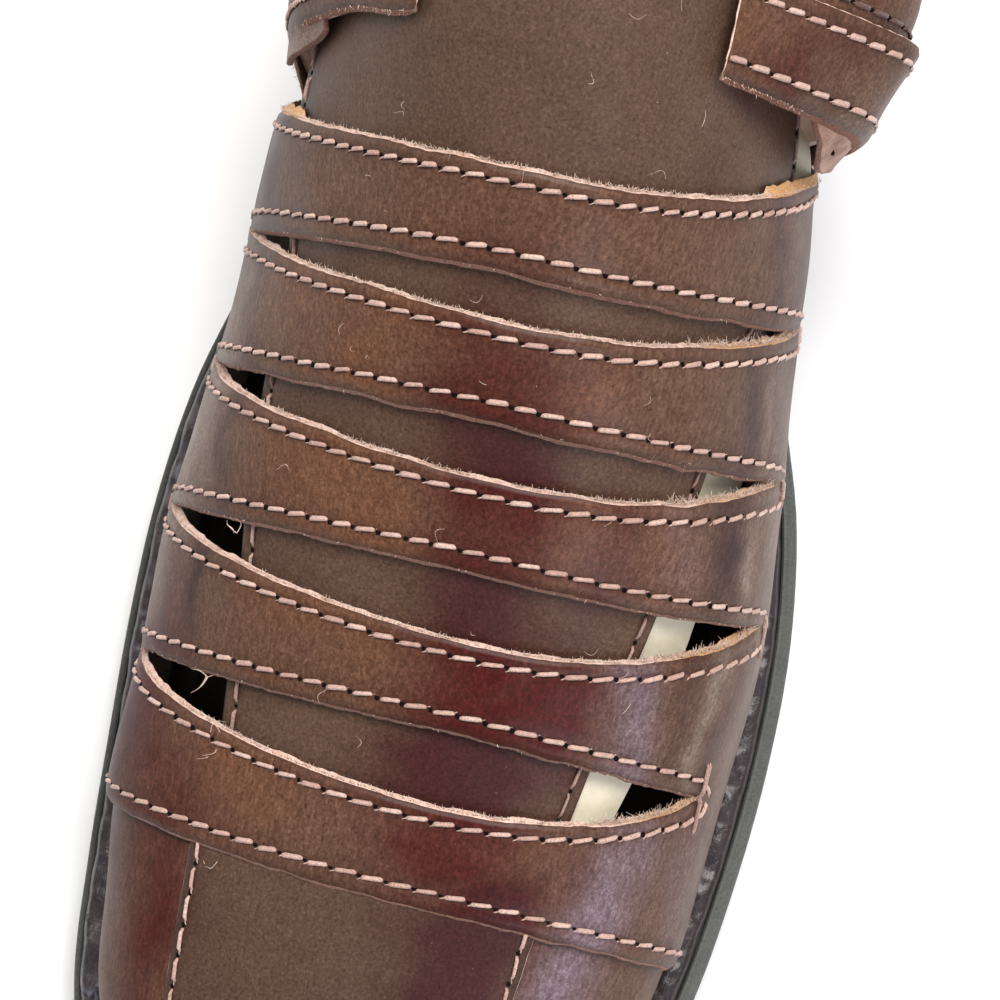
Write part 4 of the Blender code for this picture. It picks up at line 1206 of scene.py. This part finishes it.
def make_stitches():
    thread, dull, dark, holes = Bits(), Bits(), Bits(), Bits()
    seat = 0.03
    for k, name in enumerate(list(SLITS)[:-1]):
        u, v = round_slit(name)
        sew(thread, holes, on_upper(u, v, seat), seed=20 + k)
    v = np.linspace(-0.965, 0.965, 400)
    sew(thread, holes, on_upper(strap_a_low(v) - IN_LOW, v, seat - 0.40), seed=30)
    sew(thread, holes, on_upper(slit("e_f", v, 1) + IN_HIGH, v, seat), pitch=3.75, long=0.76, seed=31)
    for side, corner in ((-1, COLLAR[-1][1]), (1, COLLAR[-1][2])):
        v = side * np.linspace(corner + 0.003, 0.965, 260)
        low, over = strap_f_low(v), strap_f_proud(v)
        sew(thread, holes, on_upper(low - IN_LOW, v, seat - over), seed=33 + side, width=0.44, slant=0.30)
        sew(thread, holes, on_upper(slit("e_f", v, -1) - STRAP_F_WIDE + IN_LOW, v, seat - over), seed=36 + side, width=0.44, slant=0.30)
        low = slit("e_f", v, -1)
        sew(dark, holes, on_upper(low - STRAP_F_WIDE - 1.9, v, QUARTER_DEPTH - 0.02), seed=39 + side, slant=0.1)
    u = np.linspace(89, 231, 300)
    for k in (1, 2):
        v = (column(TONGUE, k)(u) - 2.6 / 72) * (-1 if k == 1 else 1)
        sew(dull, holes, on_upper(u, v, 2.33, 0.0), pitch=4.8, seed=42 + k, width=0.25, slant=0.0, tail=False, hole=0.34)
    for k, edge in ((1, PANEL_LAT), (2, PANEL_MED)):
        side = -1 if k == 1 else 1
        shares = np.linspace(0.16, 1.03, 200)
        v = side * (np.interp(shares, TOE_SHARES, edge) - PANEL_STITCH / 63)
        wave = uneven(toe_skin(shares, v, 0.0))
        seam = Seam(toe_skin(shares, v, 0.56 + wave), toe_skin(shares, v, -1.0) - toe_skin(shares, v, 1.0))
        sew(thread, holes, seam, pitch=4.6, seed=45 + k, slant=0.22, width=0.33)
    sew(dark, holes, Seam(*COLLAR_LINE), seed=50, slant=0.1)
    # A near-black disc beside the medial ear: painted shade of the gap into the shoe.
    p = skin(np.array([110.6]), np.array([0.72]), 0.3)
    n = unit(skin(110.6, 0.72, -1.0) - skin(110.6, 0.72, 1.0))[None]
    side_way = unit(skin(110.6, 0.735, 0.0) - skin(110.6, 0.705, 0.0))[None]
    disc = np.stack([p - n * 0.3, p + n * 0.25], 1)
    holes.tubes(disc, (side_way[:, None] + 0 * disc, np.cross(n, side_way)[:, None] + 0 * disc), (np.full((1, 2), 0.75), np.full((1, 2), 0.6)), np.zeros(1), sides=10)
    # bar tacks across the medial ends of two slits
    rng = np.random.default_rng(60)
    for u0, u1, v0, v1, count in ((202.4, 213.6, 0.684, 0.690, 3), (179.0, 184.4, 0.792, 0.796, 2), (157.2, 161.6, 0.79, 0.794, 1)):
        for k in range(count):
            t = np.linspace(0, 1, 60)
            shift = (k - count / 2) * 0.0042
            u = u0 + (u1 - u0) * t + rng.uniform(-0.5, 0.5)
            v = v0 + (v1 - v0) * t + shift + rng.uniform(-0.002, 0.002) + 0.004 * np.sin(3 * t + k)
            sew(dull, holes, on_upper(u, v, -0.05), pitch=max(abs(u1 - u0), 3.5), long=0.97, width=0.16, high=0.30, seed=61 + k, slant=0.3, tail=False, hole=0)
    keep(thread.build("pink_stitches", PINK), "strap_leather")
    keep(dull.build("dull_stitches", DULL_THREAD), "panel_leather")
    keep(dark.build("brown_stitches", BROWN_THREAD), "strap_leather")
    keep(holes.build("needle_hole_shades", HOLE_SHADE), "strap_leather")


make_stitches()


def make_fibres():
    """Short loose fibres along the cut edges, and a few thread ends."""
    rng = np.random.default_rng(70)
    bits = Bits()
    edges = []
    for name in SLITS:
        v_lat, v_med = SLITS[name][4:6]
        edges.append((lambda v, name=name: slit(name, v, 1) - BEVEL_HIGH * 0.5, v_lat, v_med, 1, 1500, 0.34))
        if name != "e_f":
            edges.append((lambda v, name=name: slit(name, v, -1), v_lat, v_med, -1, 120, 0.26))
            edges.append((lambda v, name=name: slit(name, v, 1) - BEVEL_HIGH, 0.5 * v_med, v_med, 1, 260, 0.7))
    edges.append((lambda v: strap_f_low(v), 0.42, 0.60, -1, 120, 0.4))
    edges.append((lambda v: strap_f_low(v), -0.88, -0.33, -1, 200, 0.4))
    for line, v0, v1, side, count, size in edges:
        v = rng.uniform(v0 * 0.98, v1 * 0.98, count)
        u = line(v)
        root = skin(u, v, 0.15 + rng.uniform(0, 1.1, count) + uneven(skin(u, v, 0.0)))
        out = unit(skin(u - 0.5 * side, v, 0.3) - skin(u + 0.5 * side, v, 0.3))
        up = unit(skin(u, v, -1.0) - skin(u, v, 1.0))
        side_way = np.cross(up, out)
        way = unit(out * rng.uniform(0.4, 1.2, (count, 1)) + up * rng.uniform(-0.3, 0.75, (count, 1)) + side_way * rng.normal(0, 0.75, (count, 1)))
        bend = unit(np.cross(way, rng.normal(size=(count, 3))))
        long = size * rng.gamma(2.0, 0.5, count).clip(0.3, 2.2)
        t = np.linspace(0, 1, 3)
        centre = root[:, None] + way[:, None] * (long[:, None] * t)[..., None] + bend[:, None] * (0.35 * long[:, None] * t**2)[..., None]
        one = unit(np.cross(way, bend))[:, None] * np.ones((1, 3, 1))
        two = bend[:, None] * np.ones((1, 3, 1))
        radius = rng.uniform(0.04, 0.085, (count, 1)) * (1.05 - 0.7 * t)[None]
        bits.tubes(centre, (one, two), (radius, radius), rng.uniform(0, 1, count), sides=3)
    ends = ((217, -0.462, 7.0, 5), (208, -0.50, 5.0, 4), (236, -0.40, 3.0, 3), (124, 0.66, 4.0, 3), (186, -0.50, 4.0, 3))
    for u0, v0, long, count in ends:
        root = skin(np.full(count, u0), v0 + rng.uniform(-0.008, 0.008, count), 0.6)
        way = unit(rng.normal(size=(count, 3)) * (1, 1, 0.35) + (0, 0, 0.45))
        bend = unit(np.cross(way, rng.normal(size=(count, 3))))
        t = np.linspace(0, 1, 8)
        length = long * rng.uniform(0.5, 1.0, count)
        centre = root[:, None] + way[:, None] * (length[:, None] * t * 0.8)[..., None] + bend[:, None] * (0.3 * length[:, None] * np.sin(3 * t))[..., None]
        one = unit(np.cross(way, bend))[:, None] * np.ones((1, 8, 1))
        two = bend[:, None] * np.ones((1, 8, 1))
        radius = np.full((count, 1), 0.09) * (1.1 - 0.7 * t)[None]
        bits.tubes(centre, (one, two), (radius, radius), rng.uniform(0, 1, count), sides=4)
    count = 46
    u, v = rng.uniform(92, 215, count), rng.uniform(-0.42, 0.42, count)
    root = skin(u, v, np.where(u < 118, 2.05, -0.3), 0.0)
    flat_way = unit(rng.normal(size=(count, 3)) * (1, 1, 0.08))
    bend = unit(np.cross(flat_way, (0.0, 0.0, 1.0)) + 0 * flat_way)
    t = np.linspace(0, 1, 6)
    length = rng.uniform(0.5, 2.6, count)
    centre = root[:, None] + flat_way[:, None] * (length[:, None] * t)[..., None] + bend[:, None] * (0.35 * length[:, None] * np.sin(rng.uniform(1.5, 5.0, (count, 1)) * t))[..., None]
    one = bend[:, None] * np.ones((1, 6, 1))
    two = np.zeros((count, 6, 3)) + (0.0, 0.0, 1.0)
    radius = np.full((count, 1), 0.045) * (1.1 - 0.5 * t)[None]
    bits.tubes(centre, (one, two), (radius, radius), rng.uniform(0, 1, count), sides=3)
    material = thread_finish("loose_fibre_finish", (0.84, 0.68, 0.58), (0.60, 0.40, 0.27))
    keep(bits.build("loose_fibres", material), "strap_leather")


make_fibres()


# ---------------------------------------------------------------- sole, welt and insole


def ring_stations(at):
    """Positions round the outline at the given u on both sides: heel tip, lateral, toe tip, medial."""
    back, front = int(RING[:, 1].argmin()), int(RING[:, 1].argmax())
    n = len(RING)
    lateral = np.arange(back, back + (front - back) % n + 1)
    medial = np.arange(back + n, back + n - (back - front) % n - 1, -1)
    where = [back] + [np.interp(u, RING[lateral % n, 1], lateral) for u in at]
    where += [front] + [np.interp(u, RING[medial % n, 1], medial) for u in reversed(at)]
    where = np.array(where) % n
    low = np.floor(where).astype(int) % n
    part = (where - np.floor(where))[:, None]
    return RING[low] * (1 - part) + RING[(low + 1) % n] * part, unit(OUTWARD[low] * (1 - part) + OUTWARD[(low + 1) % n] * part)


def lifted(flat, height):
    return np.column_stack([flat[:, 0], LENGTH / 2 - flat[:, 1], height])


def cap_faces(start, count, flip):
    pairs = [(k, 2 * count + 2 - k) for k in range(1, count + 1)]
    faces = [[0, 1, 2 * count + 1]]
    faces += [[a, a + 1, b - 1, b] for a, b in pairs[:-1]]
    faces += [[count, count + 1, count + 2]]
    return [[start + c for c in (face[::-1] if flip else face)] for face in faces]


def stacked(name, rings, count, materials, fields=None, sharp=38.0):
    size = len(rings[0])
    faces = cap_faces(0, count, True)
    for k in range(len(rings) - 1):
        for j in range(size):
            i = (j + 1) % size
            faces.append([k * size + j, k * size + i, (k + 1) * size + i, (k + 1) * size + j])
    faces += cap_faces((len(rings) - 1) * size, count, False)
    made = mesh_object(name, np.concatenate(rings), faces, materials, fields=fields, sharp=sharp)
    return made


def rim_share(x):
    """Share of the margin that the rubber rim takes: narrow on the lateral side, wider on the medial side."""
    return 0.13 + 0.18 * smooth((x / 45 + 1) / 2)


def make_outsole():
    cuts = [69.8, 71.6]
    for u in GROOVES:
        cuts += [u - GROOVE_WIDE / 2 - 0.15, u - GROOVE_WIDE / 2 + 0.15, u + GROOVE_WIDE / 2 - 0.15, u + GROOVE_WIDE / 2 + 0.15]
    base = [LENGTH / 2 * (1 - math.cos(math.pi * k / 130)) for k in range(1, 130)]
    at = sorted([u for u in base if all(abs(u - c) > 0.6 for c in cuts)] + cuts)
    line, out = ring_stations(at)
    marks = np.array([0.0] + at + [LENGTH] + at[::-1])
    bottom = sole_bottom(marks)
    for u in GROOVES:
        bottom = bottom + GROOVE_DEEP * (np.abs(marks - u) < GROOVE_WIDE / 2)
    m = margin(marks)
    rim = rim_share(line[:, 0]) * m
    top = sole_top(line[:, 1]) - FACET
    zero = np.zeros_like(m)
    rings, rim_stripes_and_side_shade = [], []
    profile = [
        (zero + SOLE_BEVEL, bottom, 0.0), (zero + 0.95, bottom + 0.35, 0.0), (zero + 0.35, bottom + 1.1, 0.0),
        (zero, bottom + 2.4, 0.0), (zero, top - 1.3, 0.0), (zero + 0.08, top - 0.65, 0.25), (zero + 0.22, top - 0.25, 0.8),
    ]
    for k, (height, tone) in enumerate(((0.0, 0.7), (-0.03, 0.55), (-0.01, 0.7), (-0.03, 0.55), (0.0, 0.6), (-0.05, 0.45), (-0.02, 0.8), (0.02, 0.9))):
        profile.append((0.42 + (rim - 0.42) * k / 7, top + height, tone))
    profile += [(rim + 0.05 * m, top - 0.3, 0.1), (rim + 0.06 * m, top - 1.4, 0.0), (rim + 0.14 * m, top - 1.4, 0.0), (rim + 0.18 * m, top - 0.1, 0.0)]
    for inset, height, tone in profile:
        rings.append(lifted(line - out * inset[:, None], height))
        # stripe tones, lowered towards the lateral side: painted shade
        rim_stripes_and_side_shade.append(zero + (0.35 + 0.65 * tone) * (tone > 0) * (0.40 + 0.60 * smooth((line[:, 0] / 45 + 1) / 2)))
    keep(stacked("outsole_look", rings, len(at), [RUBBER], {"rim_stripes_and_side_shade": np.concatenate(rim_stripes_and_side_shade)}, sharp=30.0), "sole_rubber", "outsole")


def make_welt():
    """A lumpy leather strip whose surface wrinkles as it goes round."""
    n = 1500
    t = np.arange(n) / n * len(RING)
    low = np.floor(t).astype(int)
    part = (t - low)[:, None]
    line = RING[low] * (1 - part) + RING[(low + 1) % len(RING)] * part
    out = unit(OUTWARD[low] * (1 - part) + OUTWARD[(low + 1) % len(RING)] * part)
    m = margin(line[:, 1])
    edge = (rim_share(line[:, 0]) + 0.10) * m
    top = sole_top(line[:, 1]) + GAP
    across = 9
    rings = [lifted(line - out * (m + 0.4)[:, None], top - 0.1)]
    rings.append(lifted(line - out * (edge + 0.03 * m)[:, None], top - 0.15))
    for k in range(across):
        q = k / (across - 1)
        inset = edge + (m + 0.1 - edge) * q
        flat = line - out * inset[:, None]
        spot = np.column_stack([flat, np.zeros(n)])
        lump = 0.30 * ripple(spot, 9.0, 81) + 0.09 * ripple(spot, 2.6, 82) + 0.05 * ripple(spot, 1.1, 83)
        arch = 1.25 + 1.05 * math.sin(math.pi * (0.12 + 0.62 * q)) - (0.75 if k == 0 else 0.0)
        push = 0.10 * ripple(spot, 9.0, 84) * (1 - q)
        rings.append(lifted(flat + out * push[:, None], top + arch + lump * (0.5 + 0.5 * math.sin(math.pi * q))))
    verts = np.concatenate(rings)
    count = len(rings)
    index = np.arange(count * n).reshape(count, n)
    after = np.roll(index, -1, 1)
    faces = []
    for k in range(count):
        j = (k + 1) % count
        faces += np.stack([index[k], after[k], after[j], index[j]], -1).tolist()
    # where the painted glints go: the lateral side
    side = smooth((-line[:, 0] - 12) / 20)
    glint = np.concatenate([0 * side, 0 * side] + [side * math.sin(math.pi * (0.1 + 0.8 * k / (across - 1))) for k in range(across)])
    made = mesh_object("welt_look", verts, faces, [WELT], fields={"glint": glint}, sharp=60.0)
    keep(made, "welt_leather", "welt")


def make_insole():
    at = [LENGTH / 2 * (1 - math.cos(math.pi * k / 90)) for k in range(1, 90)]
    line, out = ring_stations(at)
    m = margin(line[:, 1]) + WALL + 0.6
    floor = sole_top(line[:, 1]) + GAP
    rings = []
    for extra, height in ((0.0, 0.05), (0.0, 2.4), (0.15, 3.0), (0.6, 3.4), (1.4, 3.5), (3.5, 3.42), (3.9, 3.28), (4.3, 3.42)):
        rings.append(lifted(line - out * (m + extra)[:, None], floor + height))
    keep(stacked("insole_look", rings, len(at), [INSOLE]), "insole_leather", "insole")


make_outsole()
make_welt()
make_insole()


def turn_faces_out():
    """Face directions of the closed pieces, turned outward so that light falls on them the right way."""
    import bmesh

    for piece in bpy.context.scene.objects:
        if piece.type == "MESH" and piece.name in ("outsole_look", "welt_look", "insole_look", "pink_stitches", "dull_stitches", "brown_stitches", "needle_hole_shades", "loose_fibres"):
            mesh = bmesh.new()
            mesh.from_mesh(piece.data)
            bmesh.ops.recalc_face_normals(mesh, faces=mesh.faces)
            mesh.to_mesh(piece.data)
            mesh.free()


turn_faces_out()


# ---------------------------------------------------------------- camera, floor and light


def camera():
    """The photo's view: 6 degrees towards the toe and 4 towards the medial side of straight down, rolled."""
    tip, side, roll = math.radians(6), math.radians(4), math.radians(13.8)
    far, target, scale = 480.0, np.array([2.8, -16.6, 10.0]), 0.165
    back = unit(np.array([math.sin(side) * math.cos(tip), -math.sin(tip), math.cos(side) * math.cos(tip)]))
    ahead = -back
    up = unit(np.array([0.0, 1.0, 0.0]) - ahead * ahead[1])
    right = np.cross(ahead, up)
    high = math.cos(roll) * up - math.sin(roll) * right
    wide = math.cos(roll) * right + math.sin(roll) * up
    where = place(target + back * far)
    data = bpy.data.cameras.new("view")
    data.sensor_fit = "HORIZONTAL"
    data.sensor_width = 36.0
    data.lens = far / scale / 1000.0 * 36.0
    data.clip_start, data.clip_end = 0.01, 20.0
    made = bpy.data.objects.new("view", data)
    made.matrix_world = Matrix([[*row, p] for row, p in zip(np.stack([wide, high, back], 1).tolist(), where.tolist())] + [[0, 0, 0, 1]])
    bpy.context.scene.collection.objects.link(made)
    bpy.context.scene.camera = made


def area_light(name, where, aim, size, power, colour):
    data = bpy.data.lights.new(name, "AREA")
    data.shape = "RECTANGLE"
    data.size, data.size_y = size
    data.energy = power
    data.color = colour
    made = bpy.data.objects.new(name, data)
    where, aim = np.array(where, float), np.array(aim, float)
    back = unit(where - aim)
    side = unit(np.cross((0.0, 0.0, 1.0) if abs(back[2]) < 0.95 else (0.0, 1.0, 0.0), back))
    up = np.cross(back, side)
    made.matrix_world = Matrix([[*row, p] for row, p in zip(np.stack([side, up, back], 1).tolist(), where.tolist())] + [[0, 0, 0, 1]])
    bpy.context.scene.collection.objects.link(made)


def studio():
    world = bpy.data.worlds.new("studio")
    bpy.context.scene.world = world
    world.use_nodes = True
    tree = world.node_tree
    shade = tree.nodes["Background"]
    coords = tree.nodes.new("ShaderNodeTexCoord")
    parts = tree.nodes.new("ShaderNodeSeparateXYZ")
    tree.links.new(coords.outputs["Generated"], parts.inputs["Vector"])
    height = tree.nodes.new("ShaderNodeMapRange")
    tree.links.new(parts.outputs["Z"], height.inputs["Value"])
    for key, number in (("From Min", 0.05), ("From Max", 0.9), ("To Min", 0.46), ("To Max", 0.38)):
        height.inputs[key].default_value = number
    tree.links.new(height.outputs["Result"], shade.inputs["Strength"])
    shade.inputs["Color"].default_value = (0.97, 0.98, 1.0, 1.0)
    area_light("overhead", (0.10, 0.55, 1.25), (0, 0, 0), (0.9, 0.6), 26, (1.0, 0.97, 0.94))
    area_light("left_window", (-0.95, 0.35, 0.40), (0, 0, 0.04), (0.35, 0.5), 1.6, (1.0, 0.98, 0.95))
    area_light("right_window", (0.62, -0.85, 0.62), (0.02, -0.06, 0.03), (0.55, 0.5), 6.5, (0.86, 0.88, 1.0))

    size = 3.0
    data = bpy.data.meshes.new("floor")
    data.from_pydata([(-size, -size, 0), (size, -size, 0), (size, size, 0), (-size, size, 0)], [], [(0, 1, 2, 3)])
    data.materials.append(floor_finish())
    made = bpy.data.objects.new("floor", data)
    bpy.context.scene.collection.objects.link(made)
    bpy.context.scene.view_settings.view_transform = "Standard"


camera()
studio()
